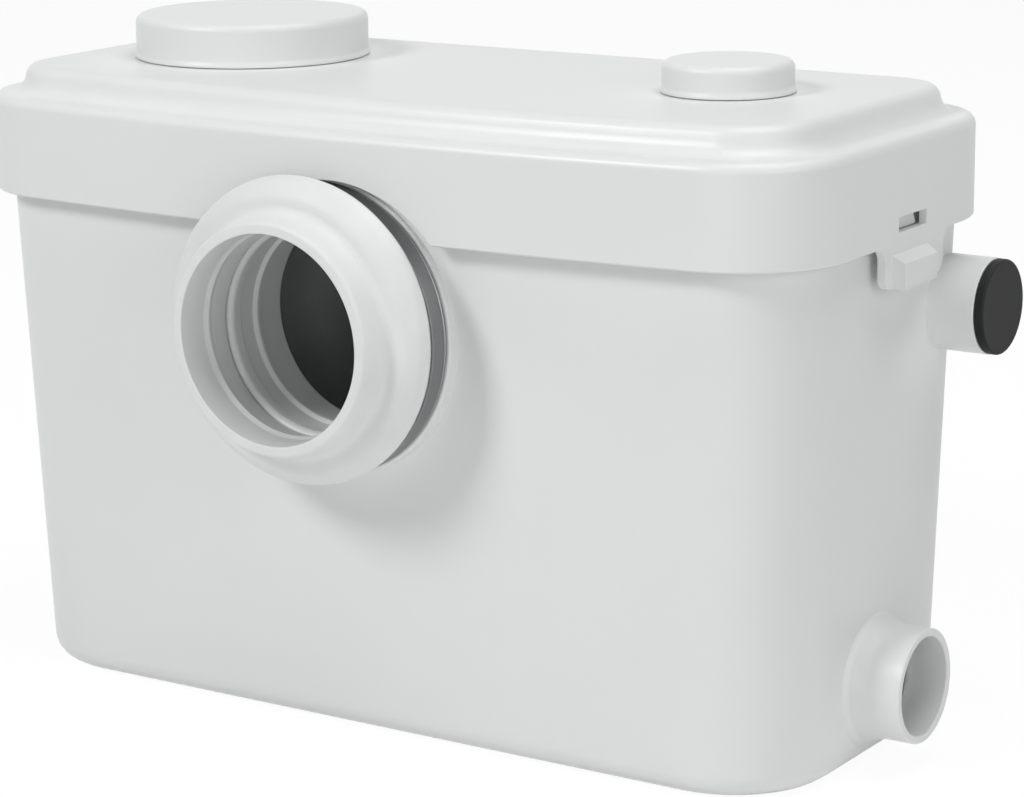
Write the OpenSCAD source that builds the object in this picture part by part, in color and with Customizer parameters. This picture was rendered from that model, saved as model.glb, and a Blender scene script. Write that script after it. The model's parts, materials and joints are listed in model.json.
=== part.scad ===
// Macerator toilet pump: a drafted plastic tank with a lift-off lid, a rubber pan sleeve at the front,
// two pipe spigots at the right, and the motor, cutter, pump and non-return valves inside.
// Millimetres. The origin is the middle of the tank's underside, +X towards the spigots,
// -Y towards the toilet pan and +Z up.

/* [Lid] */
// Width of the lid over its end skirts
lid_w = 376; // [368:1:384]
// Depth of the lid at its ends, without the bow of its front
lid_d = 168; // [164:1:172]
// How far the middle of the lid's front bows out
lid_bow = 11; // [8:1:13]
// Corner radius of the lid seen from above
lid_r = 38; // [34:1:42]
// Height of the lid's skirt
skirt_h = 38; // [36:1:41]
// Height of the raised top above its ledge
rise_h = 10.5; // [9:0.5:12.5]
// Width of the ledge round the raised top
ledge_w = 10; // [9:0.5:11]
// Wall thickness of the lid
lid_wall = 3; // [2.5:0.25:3.25]
// Rounding of the ledge's outer edge
ledge_fillet = 4; // [3:0.5:5]
// Rounding of the raised top's edge
top_fillet = 5; // [4:0.5:6]
// How far the foot of the raised top spreads past its upper edge
rise_slope = 3; // [2:0.5:4]

/* [Lid clips] */
// Place of the clips along the lid's ends
clip_y = 4; // [0:1:8]
// Width of the tongue that hangs from the skirt
tongue_w = 50; // [44:1:56]
// Drop of the tongue below the skirt
tongue_drop = 14; // [12:1:16]
// Rounding of the tongue's corners
tongue_r = 5; // [4:0.5:6]
// Width of the finger block on the tongue
block_w = 26; // [22:1:30]
// How far the finger block stands out
block_out = 5; // [4:0.5:6]
// Height of the finger block's upright face
block_h = 9.5; // [8:0.5:11]
// Width of the window above the finger block
window_w = 22; // [18:1:26]
// Height of the window
window_h = 5.5; // [4.5:0.5:7]
// Height of the window's sill above the skirt's edge
window_sill = 7; // [6:0.5:9]

/* [Caps] */
// Distance of the motor and its access cap from the lid's left-hand end
motor_in = 82.5; // [80:0.5:84]
// Place of the motor's access cap and of the motor, front to back
motor_y = 2; // [0:0.5:4]
// Radius of the motor cap
motor_cap_r = 47; // [46:0.5:48]
// Height of the motor cap
motor_cap_h = 17; // [15:0.5:19]
// Radius of the lid's hole under the motor cap
motor_port_r = 40; // [38:0.5:41]
// Distance of the vent cap from the lid's right-hand end
vent_in = 74.5; // [72:0.5:78]
// Place of the vent cap, front to back
vent_y = 1.5; // [-1:0.5:4]
// Radius of the vent cap
vent_cap_r = 25; // [24.5:0.5:26]
// Height of the vent cap
vent_cap_h = 12; // [10.5:0.5:13.5]
// Radius of the vent's hole in the lid
vent_port_r = 18; // [17:0.5:19]
// Wall thickness of both caps
cap_wall = 2.5; // [2:0.25:3]
// Rounding of the caps' top edges
cap_fillet = 2.5; // [2:0.25:3]
// Width of the foot that flares out round each cap
cap_foot = 1; // [0.75:0.25:1.25]
// How far each cap's spigot reaches down into its hole
cap_plug = 7; // [6:0.5:8]

/* [Tank] */
// Width of the tank at its base
tank_base_w = 356; // [352:1:360]
// Depth of the tank at its base
tank_base_d = 150; // [147:1:153]
// Corner radius of the tank at its base
tank_base_r = 42; // [38:1:44]
// Height of the tank's rim
rim_z = 224; // [221:1:228]
// Wall thickness of the tank
tank_wall = 3.5; // [3:0.25:4]
// Rounding where the tank's walls meet its floor
base_fillet = 9; // [7:1:11]
// Air gap between the lid's skirt and the tank's rim
skirt_gap = 3; // [2.5:0.5:4]

/* [Pan inlet] */
// Place of the pan inlet, left to right
inlet_x = -5.5; // [-8:0.5:-3]
// Height of the pan inlet's axis
inlet_z = 160; // [158:1:162]
// Bore radius of the inlet pipe through the tank's front
inlet_r = 40; // [38.5:0.5:40]
// Wall thickness of the inlet pipe
inlet_wall = 4; // [3:0.5:5]
// How far the inlet pipe reaches inside the tank
inlet_in = 22; // [16:1:26]
// Outer radius of the neck that the sleeve is pulled over
neck_r = 50; // [49:0.5:50.5]
// How far the neck stands out of its collar
neck_len = 7; // [6:0.5:7.5]
// How far the collar stands clear of the tank's sloping front
collar_stand = 0.5; // [0.5:0.25:1]
// How far the collar's edge stands past the band clip
collar_edge = 1; // [0.5:0.25:1.5]
// Bore radius of the sleeve's mouth
mouth_r = 39; // [38:0.5:39.5]
// Distance of the sleeve's mouth from the neck's collar
mouth_len = 37; // [35:0.5:39]
// Outer radius of the sleeve's flange
flange_r = 57.5; // [56.5:0.5:58.5]
// Distance of the back of the flange from the neck's collar
flange_gap = 8.4; // [8:0.2:9]
// Thickness of the sleeve's rubber over the neck
sleeve_t = 3.9; // [3:0.3:3.9]
// Height of the sealing lips inside the sleeve
lip_h = 2.5; // [2:0.25:3]
// Thickness of the band clip
band_t = 1.1; // [0.8:0.1:1.3]

/* [Pipe spigots] */
// Outer diameter of the side inlet's spigot
side_od = 43; // [41:0.5:43]
// Wall thickness of the side inlet's spigot
side_wall = 3; // [2.5:0.25:3.5]
// Length of the side inlet's spigot outside the tank
side_len = 21; // [20:1:30]
// Place of the side inlet, front to back
side_y = -2.5; // [-5:0.5:0]
// Height of the side inlet's axis
side_z = 32; // [30:0.5:34]
// Rounding at the side inlet's root
side_flare = 4; // [3:0.5:4]
// Outer diameter of the outlet's spigot
outlet_od = 36; // [34:0.5:36]
// Wall thickness of the outlet's spigot
outlet_wall = 3; // [2.5:0.25:3.5]
// Length of the outlet's spigot outside the tank
outlet_len = 19; // [18:1:28]
// Distance of the outlet's axis from the tank's back at its rim
outlet_in = 30; // [28:0.5:32]
// Height of the outlet's axis
outlet_z = 165; // [162:1:168]
// Rounding at the outlet's root
outlet_flare = 1.5; // [1:0.25:2]
// Thickness of the outlet plug's face
plug_face = 3.5; // [2.5:0.25:4]
// Depth of the outlet plug in its pipe
plug_depth = 14; // [10:1:18]

/* [Deck] */
// Depth of the deck's tray below the rim
deck_depth = 16; // [14:1:16]
// Thickness of the deck's floor
deck_floor = 3.5; // [3:0.25:4]
// Thickness of the deck's walls
deck_wall = 2.5; // [2:0.25:3]
// Thickness of the deck's flange on the rim
deck_flange = 3; // [2.5:0.25:3.5]
// Height of the lid's gasket
gasket_h = 4; // [3.5:0.25:4.5]
// Width of the lid's gasket
gasket_w = 4; // [3:0.5:4.5]
// Diameter of the mains lead's hole
lead_d = 8; // [7:0.5:9]
// Place of the mains lead's grommet, left to right
lead_x = 62; // [56:1:68]

/* [Motor] */
// Outer radius of the motor's housing
motor_r = 43; // [41:0.5:44]
// Wall thickness of the motor's housing
motor_wall = 2.5; // [2:0.25:3]
// Outer radius of the motor's flanges
motor_flange_r = 54; // [53:0.5:55]
// Thickness of the motor's flanges
motor_flange_t = 4; // [3.5:0.25:4.5]
// Height of the motor's end cover
end_cover_h = 9; // [8:0.5:10]
// Radius of the shaft
shaft_r = 6; // [5:0.25:6.5]
// Outer radius of the shaft's bearings
bearing_r = 14; // [13:0.5:15]
// Width of the shaft's bearings
bearing_w = 9; // [8:0.5:10]
// Radius of the rotor
rotor_r = 23; // [21:0.5:24]
// Air gap between rotor and stator
rotor_gap = 0.6; // [0.4:0.1:0.8]
// Height of the stator's core
stator_h = 56; // [50:1:60]
// Height of each end of the winding
winding_h = 13; // [11:1:14]

/* [Pump] */
// Height of the cutter basket's floor
basket_z = 58; // [56:1:59]
// Height of the cutter basket
basket_h = 38; // [36:1:40]
// Outer radius of the basket's round ends
basket_r = 54; // [53:0.5:55]
// Wall thickness of the basket
basket_wall = 2.5; // [2:0.25:3]
// Width of the basket's slots
basket_slot = 5; // [4:0.5:5.5]
// Spacing of the basket's slots
basket_pitch = 10; // [9:0.5:12]
// Radius of the cutter's tips
cutter_r = 48; // [44:0.5:49]
// Thickness of the cutter
cutter_t = 4; // [3:0.5:5]
// Number of the cutter's arms
cutter_arms = 4; // [2:1:6]
// Wall thickness of the volute
volute_wall = 3.5; // [3:0.25:4]
// Radius of the volute where its spiral starts
volute_start_r = 41; // [40:0.5:43]
// Radius of the volute where its spiral ends
volute_end_r = 52; // [50:0.5:53]
// Thickness of the volute's suction cover
cover_t = 4; // [3:0.5:5]
// Radius of the suction eye
eye_r = 15; // [13:0.5:17]
// Radius of the impeller
impeller_r = 33; // [30:0.5:34]
// Number of the impeller's vanes
impeller_vanes = 6; // [4:1:8]

/* [Discharge] */
// Outer radius of the discharge pipe
pipe_r = 14; // [13.5:0.25:14.5]
// Wall thickness of the discharge pipe
pipe_wall = 2.5; // [2:0.25:3]
// Bend radius of the discharge pipe
bend_r = 24; // [22:1:26]
// Distance of the riser from the tank's right-hand side
riser_in = 61; // [60:0.5:65]
// Length of the outlet's nipple that takes the elbow's coupling
nipple_len = 20.5; // [20.5:0.5:22]
// Height of the non-return valve's body
valve_h = 42; // [40:1:46]
// Outer radius of the non-return valve's body
valve_r = 17; // [16.5:0.25:17.25]
// Thickness of the coupling sleeves
coupling_t = 2; // [1.6:0.2:2.2]
// Length of the coupling sleeves
coupling_len = 22; // [20:1:24]
// Thickness of the coupling clips
clip_t = 0.8; // [0.6:0.1:1]
// Width of the coupling clips
clip_w = 6; // [5:0.5:7]

/* [Controls] */
// Place of the pressure switch, left to right
switch_x = 58; // [56:1:64]
// Place of the pressure switch, front to back
switch_y = -30; // [-34:1:-26]
// Radius of the pressure switch
switch_r = 20; // [18:0.5:21]
// Height of the pressure switch's housing
switch_h = 13; // [12:0.5:14]
// Outer radius of the dip tube
dip_r = 12; // [10:0.5:13]
// Gap under the dip tube
dip_gap = 10; // [8:1:16]
// Radius of the run capacitor
capacitor_r = 12; // [10:0.5:12.5]
// Length of the run capacitor
capacitor_len = 62; // [54:1:66]
// Length of the terminal block
terminal_len = 40; // [34:1:44]

/* [Fits] */
// Gap between pieces that slide or lift apart
lift_gap = 0.3; // [0.2:0.05:0.4]
// Gap between fixed pieces that slip together
slip_gap = 0.15; // [0.1:0.05:0.2]
// Running gap between a shaft or pin and its hole
run_gap = 0.06; // [0.04:0.01:0.1]

/* [Hidden] */

// Rendering fineness, how far cuts run past a surface and how far joined shapes run into each other
$fn = 64;
cut = 0.5;
lap = 1;
corner_steps = 10;
front_steps = 10;
fillet_steps = 4;

// Heights of the lid
ledge_z = rim_z + deck_flange + gasket_h + lid_wall;
skirt_z = ledge_z - skirt_h;
lid_top_z = ledge_z + rise_h;

// The tank's outline at its rim
rim_inset = lid_wall + skirt_gap;
rim_w = lid_w - 2 * rim_inset;
rim_d = lid_d - 2 * rim_inset;
rim_r = lid_r - rim_inset;

// Places that follow the lid's and the tank's sizes
motor_x = motor_in - lid_w / 2;
vent_x = lid_w / 2 - vent_in;
outlet_y = rim_d / 2 - outlet_in;

// Outlines that taper from the tank's base to its rim
function taper(low, high, z) = low + (high - low) * z / rim_z;
function tank_w(z) = taper(tank_base_w, rim_w, z);
function tank_d(z) = taper(tank_base_d, rim_d, z);
function tank_r(z) = taper(tank_base_r, rim_r, z);
function tank_bow(z) = taper(0, lid_bow, z);

// A rounded oblong with a bowed front, as points
function corner(x, y, r, start) = [for (i = [0 : corner_steps])
    let (a = start + 90 * i / corner_steps) [x + r * cos(a), y + r * sin(a)]];
function front_run(w, d, r) = [for (i = [1 : front_steps - 1])
    [(w - 2 * r) * (i / front_steps - 0.5), -d / 2]];
function bowed(p, w, d, bow) = p[1] >= 0 ? p :
    [p[0], p[1] + bow * (1 - pow(2 * p[0] / w, 2)) * max(2 * p[1] / d, -1)];
function oblong(w, d, r) = concat(
    corner(w / 2 - r, d / 2 - r, r, 0),
    corner(r - w / 2, d / 2 - r, r, 90),
    corner(r - w / 2, r - d / 2, r, 180),
    front_run(w, d, r),
    corner(w / 2 - r, r - d / 2, r, 270));
function outline(w, d, r, bow) = [for (p = oblong(w, d, r)) bowed(p, w, d, bow)];

// The tank's front face at the inlet's height, and its right-hand face at a height
inlet_face_y = -tank_d(inlet_z) / 2 - tank_bow(inlet_z);
function tank_side_x(z) = tank_w(z) / 2;

// The sleeve's seat on the neck
sleeve_r = neck_r + sleeve_t;
band_r = sleeve_r + band_t;
collar_r = band_r + collar_edge;
front_slope = ((rim_d - tank_base_d) / 2 + lid_bow) / rim_z;
collar_out = front_slope * collar_r + collar_stand;
neck_out = collar_out + neck_len;
mouth_out = collar_out + mouth_len;
flange_out = collar_out + flange_gap;
arch_gap = 2;
arch_r = collar_r + arch_gap;
arch_cut = 40;

// Heights inside the tank
deck_z = rim_z - deck_depth;
deck_top_z = deck_z + deck_floor;
basket_top_z = basket_z + basket_h;
motor_base_z = basket_top_z;
motor_top_z = deck_top_z + motor_flange_t;
cover_top_z = motor_top_z + end_cover_h;

// The discharge run from the pump to the riser, hung close under the basket
pipe_bore = pipe_r - pipe_wall;
coupling_r = pipe_r + slip_gap + coupling_t;
coupling_room = 3;
nozzle_z = basket_z - lift_gap - clip_t - slip_gap - coupling_r;
nozzle_edge = 0.5;
nozzle_y = motor_y + volute_end_r - pipe_r;
nozzle_len = volute_end_r + coupling_len / 2 + coupling_room;
riser_x = tank_side_x(outlet_z) - riser_in;
run_dx = riser_x - motor_x;
run_dy = outlet_y - nozzle_y;
run_angle = atan2(run_dy, run_dx);
run_len = norm([run_dx, run_dy]);
riser_stub = 10;
valve_z = nozzle_z + bend_r + riser_stub;
valve_top_z = valve_z + valve_h;
nipple_x = tank_side_x(outlet_z) - tank_wall - nipple_len;
outlet_bore = outlet_od / 2 - outlet_wall;
side_bore = side_od / 2 - side_wall;

// The shaft's stack
volute_z = nozzle_z - pipe_r - nozzle_edge;
volute_h = basket_z - volute_z;
seal_h = 6;
bearing_shelf = 4;
bearing_drop = 4;
cutter_lift = 6;
impeller_gap = 3;
impeller_h = 17;
nut_h = 6;
hub_wall = 5;
shaft_room = 1;
shaft_end = 0.5;
lower_bearing_z = motor_base_z + seal_h + bearing_shelf;
upper_bearing_z = motor_top_z - bearing_drop;
cutter_z = basket_z + basket_wall + cutter_lift;
impeller_z = volute_z + impeller_gap;
stator_z = (lower_bearing_z + bearing_w + upper_bearing_z - stator_h) / 2;
shaft_top_z = upper_bearing_z + bearing_w + shaft_end;
shaft_bottom_z = impeller_z - nut_h - shaft_end;
hub_r = shaft_r + hub_wall;

// The side inlet's valve seat and flap
seat_stand = 3;
seat_face_x = tank_side_x(side_z) - tank_wall - seat_stand;
seat_flange_t = 3;
seat_lip = 3;
seat_wall = 2.5;
seat_depth = 12;
seat_flange_r = side_bore + seat_lip;
seat_hole_r = side_bore - seat_wall;
flap_t = 2.5;
flap_lap = 2.5;
flap_x = seat_face_x - seat_flange_t - lift_gap;
flap_pin_r = 1.5;
flap_pin_rise = 2;
flap_pin_z = side_z + seat_flange_r + flap_pin_rise;
flap_pin_x = flap_x - flap_t / 2;
flap_pin_len = 20;
flap_ear_t = 3;
flap_ear_r = 3.2;

// The outlet valve's flap
flap_side_gap = 0.5;
outlet_flap_r = pipe_bore - flap_side_gap;
outlet_seat_rise = 9;
outlet_seat_z = valve_z + outlet_seat_rise;
outlet_flap_z = outlet_seat_z + lift_gap;
outlet_flap_t = 2.4;
outlet_pin_r = outlet_flap_t / 2;
outlet_pin_x = riser_x - outlet_flap_r - outlet_pin_r;
outlet_pin_len = 2 * sqrt(pow(valve_r, 2) - pow(outlet_pin_x - riser_x, 2)) - lap;

// Shapes that several pieces share
module tube(outer, inner, h) {
    difference() {
        cylinder(r = outer, h = h);
        translate([0, 0, -cut]) cylinder(r = inner, h = h + 2 * cut);
    }
}

module along_x(x, y, z) {
    translate([x, y, z]) rotate([0, 90, 0]) children();
}

module along_front(y) {
    translate([inlet_x, y, inlet_z]) rotate([90, 0, 0]) children();
}

module at_motor(z) {
    translate([motor_x, motor_y, z]) children();
}

// Rings of points at a height, drawn in from the tank's or the lid's outline
function raised(points, z) = [for (p = points) [p[0], p[1], z]];
function tank_ring(z, inset) = raised(
    outline(tank_w(z) - 2 * inset, tank_d(z) - 2 * inset, tank_r(z) - inset, tank_bow(z)), z);
function lid_ring(z, inset) = raised(
    outline(lid_w - 2 * inset, lid_d - 2 * inset, lid_r - inset, lid_bow), z);

// A solid skinned over rings of equally many points, from the lowest ring up
module loft(rings) {
    n = len(rings[0]);
    top = n * (len(rings) - 1);
    sides = [for (k = [0 : len(rings) - 2]) for (j = [0 : n - 1])
        let (a = k * n + j, b = k * n + (j + 1) % n)
            each [[a, a + n, b + n], [a, b + n, b]]];
    caps = [[for (j = [0 : n - 1]) j], [for (j = [n - 1 : -1 : 0]) top + j]];
    polyhedron(points = [for (ring = rings) each ring], faces = concat(sides, caps));
}

module ring_of(count, radius) {
    for (i = [0 : count - 1])
        rotate([0, 0, 360 * (i + 0.5) / count]) translate([radius, 0, 0]) children();
}

module both_ends() {
    children();
    mirror([1, 0, 0]) children();
}

// A plate standing across the X axis, drawn by its front-to-back and height outline
module end_plate(x, t) {
    translate([x, 0, 0]) rotate([90, 0, 90]) linear_extrude(t) children();
}

// Tank
module tank_loft(wall, fillet, top_z) {
    foot = [for (i = [0 : fillet_steps]) let (a = 90 * i / fillet_steps)
        tank_ring(wall + fillet * (1 - cos(a)), wall + fillet * (1 - sin(a)))];
    loft(concat(foot, [raised(tank_ring(rim_z, wall), top_z)]));
}

module spigot_flare(r, flare) {
    rotate_extrude() difference() {
        translate([r - cut, -tank_wall]) square([flare + cut, flare + tank_wall]);
        translate([r + flare, flare]) circle(flare);
        translate([r, flare]) square([2 * flare, 2 * flare]);
    }
}

catch_side_gap = 2;
catch_lip = 1.5;
catch_slope = 12;
module clip_catch() {
    catch_w = window_w - 2 * catch_side_gap;
    reach = lid_w / 2 - lid_wall - 2 * lift_gap;
    root = tank_side_x(skirt_z) - tank_wall / 2;
    sill = skirt_z + window_sill;
    translate([0, clip_y + catch_w / 2, 0]) rotate([90, 0, 0]) linear_extrude(catch_w)
        polygon([[root, sill], [reach, sill], [reach, sill + catch_lip], [root, sill + catch_slope]]);
}

// Holes that the pipes' stubs go through
stub_step = 1;
side_stub_r = side_od / 2 - stub_step;
outlet_stub_r = outlet_od / 2 - stub_step;
inlet_stub_r = inlet_r + inlet_wall;
module pipe_holes() {
    along_front(inlet_face_y + inlet_in) cylinder(r = inlet_stub_r + slip_gap, h = 2 * inlet_in);
    along_x(seat_face_x, side_y, side_z)
        cylinder(r = side_stub_r + slip_gap, h = 2 * (seat_stand + tank_wall));
    along_x(nipple_x, outlet_y, outlet_z) cylinder(r = outlet_stub_r + slip_gap, h = 2 * nipple_len);
}

// The notch that lets the mains lead over the rim
notch_lift = 2;
module lead_notch() {
    translate([lead_x - lead_d, 0, deck_top_z + notch_lift]) cube([2 * lead_d, lid_d, rim_z]);
}

module tank() {
    color("gainsboro") difference() {
        tank_loft(0, base_fillet, rim_z);
        tank_loft(tank_wall, base_fillet - tank_wall / 2, rim_z + tank_wall);
        pipe_holes();
        lead_notch();
    }
    color("gainsboro") both_ends() clip_catch();
}

// Pipes welded to the tank: each is cut to the tank's outside, and its stub goes through the wall
pipe_root = 8;
module outside_tank() {
    difference() {
        children();
        tank_loft(-slip_gap, base_fillet, rim_z);
    }
}

module pan_neck() {
    color("gainsboro") difference() {
        union() {
            outside_tank() along_front(inlet_face_y + pipe_root) {
                cylinder(r = neck_r, h = neck_out + pipe_root);
                cylinder(r = collar_r, h = collar_out + pipe_root);
            }
            along_front(inlet_face_y + inlet_in) cylinder(r = inlet_stub_r, h = inlet_in + collar_out);
        }
        along_front(inlet_face_y + inlet_in + cut)
            cylinder(r = inlet_r, h = inlet_in + neck_out + 2 * cut);
    }
}

module side_spigot() {
    wall_x = tank_side_x(side_z);
    color("gainsboro") difference() {
        union() {
            outside_tank() {
                along_x(wall_x - tank_wall, side_y, side_z) cylinder(d = side_od, h = side_len + tank_wall);
                along_x(wall_x, side_y, side_z) spigot_flare(side_od / 2, side_flare);
            }
            along_x(seat_face_x, side_y, side_z)
                cylinder(r = side_stub_r, h = wall_x - seat_face_x + side_flare);
        }
        along_x(seat_face_x - cut, side_y, side_z)
            cylinder(r = side_bore, h = wall_x - seat_face_x + side_len + 2 * cut);
    }
}

module outlet_spigot() {
    wall_x = tank_side_x(outlet_z);
    color("gainsboro") difference() {
        union() {
            outside_tank() {
                along_x(wall_x - tank_wall, outlet_y, outlet_z)
                    cylinder(d = outlet_od, h = outlet_len + tank_wall);
                along_x(wall_x, outlet_y, outlet_z) spigot_flare(outlet_od / 2, outlet_flare);
            }
            along_x(wall_x - tank_wall, outlet_y, outlet_z)
                cylinder(r = outlet_stub_r, h = tank_wall + outlet_flare);
            along_x(nipple_x, outlet_y, outlet_z) cylinder(r = pipe_r, h = wall_x - nipple_x);
        }
        along_x(nipple_x - cut, outlet_y, outlet_z) cylinder(r = pipe_bore, h = wall_x - nipple_x + 2 * cut);
        along_x(wall_x, outlet_y, outlet_z) cylinder(r = outlet_bore, h = outlet_len + cut);
    }
}

// Lid
skirt_edge = 0.7;
module lid_block() {
    skirt = [lid_ring(skirt_z, skirt_edge), lid_ring(skirt_z + skirt_edge, 0)];
    ledge = [for (i = [0 : fillet_steps]) let (a = 90 * i / fillet_steps)
        lid_ring(ledge_z - ledge_fillet * (1 - sin(a)), ledge_fillet * (1 - cos(a)))];
    crown_inset = ledge_w + rise_slope;
    crown = [for (i = [0 : fillet_steps]) let (a = 90 * i / fillet_steps)
        lid_ring(lid_top_z - top_fillet * (1 - sin(a)), crown_inset + top_fillet * (1 - cos(a)))];
    loft(concat(skirt, ledge));
    loft(concat([lid_ring(ledge_z - lid_wall / 2, ledge_w)], crown));
}

module lid_hollow() {
    loft([lid_ring(skirt_z - cut, lid_wall), lid_ring(ledge_z - lid_wall, lid_wall)]);
    loft([lid_ring(ledge_z - 2 * lid_wall, ledge_w + lid_wall),
        lid_ring(lid_top_z - lid_wall, ledge_w + rise_slope + lid_wall)]);
}

module tongue_outline() {
    low = skirt_z - tongue_drop;
    high = skirt_z + 2 * skirt_edge;
    half = tongue_w / 2;
    translate([clip_y - half + tongue_r, low]) square([tongue_w - 2 * tongue_r, high - low]);
    translate([clip_y - half, low + tongue_r]) square([tongue_w, high - low - tongue_r]);
    for (side = [-1, 1]) {
        translate([clip_y + side * (half - tongue_r), low + tongue_r]) circle(tongue_r);
        difference() {
            translate([clip_y + side * half - (side < 0 ? tongue_r : 0), skirt_z - tongue_r])
                square([tongue_r, tongue_r + high - skirt_z]);
            translate([clip_y + side * (half + tongue_r), skirt_z - tongue_r]) circle(tongue_r);
        }
    }
}

block_lift = 1;
module finger_block() {
    low = skirt_z - tongue_drop + block_lift;
    half = block_w / 2;
    face_x = lid_w / 2;
    hull() {
        translate([face_x - lap, clip_y - half - block_out, low])
            cube([lap, block_w + 2 * block_out, block_h + block_out]);
        translate([face_x, clip_y - half, low]) cube([block_out, block_w, block_h]);
    }
}

module lid_clip() {
    end_plate(lid_w / 2 - lid_wall, lid_wall) tongue_outline();
    finger_block();
}

module lid_ports() {
    at_motor(lid_top_z - 2 * lid_wall) cylinder(r = motor_port_r, h = 3 * lid_wall);
    translate([vent_x, vent_y, lid_top_z - 2 * lid_wall]) cylinder(r = vent_port_r, h = 3 * lid_wall);
    along_front(inlet_face_y + arch_cut / 2) cylinder(r = arch_r, h = arch_cut);
    both_ends() translate([lid_w / 2 - 2 * lid_wall, clip_y - window_w / 2, skirt_z + window_sill])
        cube([3 * lid_wall, window_w, window_h]);
    translate([lead_x, lid_d / 2 - 2 * lid_wall, lead_z]) rotate([-90, 0, 0])
        cylinder(d = lead_d + 2 * grommet_t, h = 3 * lid_wall);
}

module lid() {
    color("whitesmoke") difference() {
        union() {
            difference() {
                lid_block();
                lid_hollow();
            }
            both_ends() lid_clip();
        }
        lid_ports();
    }
}

// A cup under the vent's hole that holds the filter on its lip
holder_t = 2.5;
filter_lip = 3;
filter_lip_t = 1.5;
chimney_gap = 1.5;
holder_z = rim_z + deck_flange + chimney_gap;
module filter_holder() {
    holder_h = lid_top_z - lid_wall - slip_gap - holder_z;
    color("whitesmoke") translate([vent_x, vent_y, holder_z]) difference() {
        cylinder(r = vent_port_r + holder_t, h = holder_h);
        translate([0, 0, filter_lip_t]) cylinder(r = vent_port_r, h = holder_h);
        translate([0, 0, -cut]) cylinder(r = vent_port_r - filter_lip, h = holder_h);
    }
}

gasket_edge = 1;
gasket_inset = rim_inset + gasket_edge;
module lid_gasket() {
    low = rim_z + deck_flange + slip_gap;
    outer = gasket_inset;
    inner = gasket_inset + gasket_w;
    color("dimgray") translate([0, 0, low]) linear_extrude(ledge_z - lid_wall - low) difference() {
        polygon(outline(lid_w - 2 * outer, lid_d - 2 * outer, lid_r - outer, lid_bow));
        polygon(outline(lid_w - 2 * inner, lid_d - 2 * inner, lid_r - inner, lid_bow));
    }
}

// The mains lead's grommet in the lid's back skirt
grommet_t = 2;
grommet_lip = 2;
grommet_lip_t = 1.8;
lead_rise = 2;
lead_z = (skirt_z + ledge_z) / 2 + lead_rise;
module lead_grommet() {
    bore = lead_d / 2;
    body = bore + grommet_t - slip_gap;
    back_y = lid_d / 2 - lid_wall - grommet_lip_t;
    color("dimgray") translate([lead_x, back_y, lead_z]) rotate([-90, 0, 0])
        difference() {
            union() {
                cylinder(r = body + grommet_lip, h = grommet_lip_t - slip_gap);
                cylinder(r = body, h = lid_wall + 2 * grommet_lip_t);
                translate([0, 0, grommet_lip_t + lid_wall + slip_gap])
                    cylinder(r1 = body + grommet_lip, r2 = body + grommet_lip / 2, h = grommet_lip_t);
            }
            translate([0, 0, -cut]) cylinder(r = bore, h = lid_wall + 4 * grommet_lip_t);
        }
}

// Caps: a puck with a rounded edge, a flared foot and a spigot down into the lid's hole, cored from below
seal_r = 1.3;
cap_foot_h = 1.5;
cap_steps = 4;
function cap_edge(r, h) = [for (i = [0 : cap_steps]) let (a = 90 * i / cap_steps)
    [r - cap_fillet * (1 - cos(a)), h - cap_fillet * (1 - sin(a))]];
module cap_profile(r, h, plug_r) {
    side_r = r - cap_foot;
    polygon(concat([[0, -cap_plug], [plug_r, -cap_plug], [plug_r, lift_gap], [r, lift_gap],
        [r, lift_gap + cap_foot_h / 2], [side_r, lift_gap + 2 * cap_foot_h]], cap_edge(side_r, h), [[0, h]]));
}

module cap_core(h, corner_r) {
    core = corner_r * sqrt(2);
    translate([-core / 2, -core / 2, -cap_plug - cut]) cube([core, core, cap_plug + h - cap_wall + cut]);
}

seal_z = lid_top_z - lid_wall / 2;
seal_ring_r = motor_port_r - seal_r - lift_gap / 2;
module motor_cap() {
    plug_r = motor_port_r - lift_gap;
    groove_r = seal_ring_r - seal_r - slip_gap;
    groove_h = 2 * (seal_r + slip_gap);
    color("whitesmoke") difference() {
        at_motor(lid_top_z) rotate_extrude() cap_profile(motor_cap_r, motor_cap_h, plug_r);
        at_motor(lid_top_z) cap_core(motor_cap_h, plug_r - cap_wall - seal_r);
        at_motor(seal_z - groove_h / 2) tube(motor_port_r, groove_r, groove_h);
    }
}

module motor_cap_seal() {
    color("dimgray") at_motor(seal_z) rotate_extrude() translate([seal_ring_r, 0]) circle(seal_r);
}

module vent_cap() {
    plug_r = vent_port_r - lift_gap;
    color("whitesmoke") translate([vent_x, vent_y, lid_top_z]) difference() {
        rotate_extrude() cap_profile(vent_cap_r, vent_cap_h, plug_r);
        cap_core(vent_cap_h, plug_r - cap_wall);
    }
}

module carbon_filter() {
    low = holder_z + filter_lip_t;
    high = lid_top_z - cap_plug - lap;
    color("dimgray") translate([vent_x, vent_y, low])
        cylinder(r = vent_port_r - slip_gap, h = high - low);
}

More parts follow.
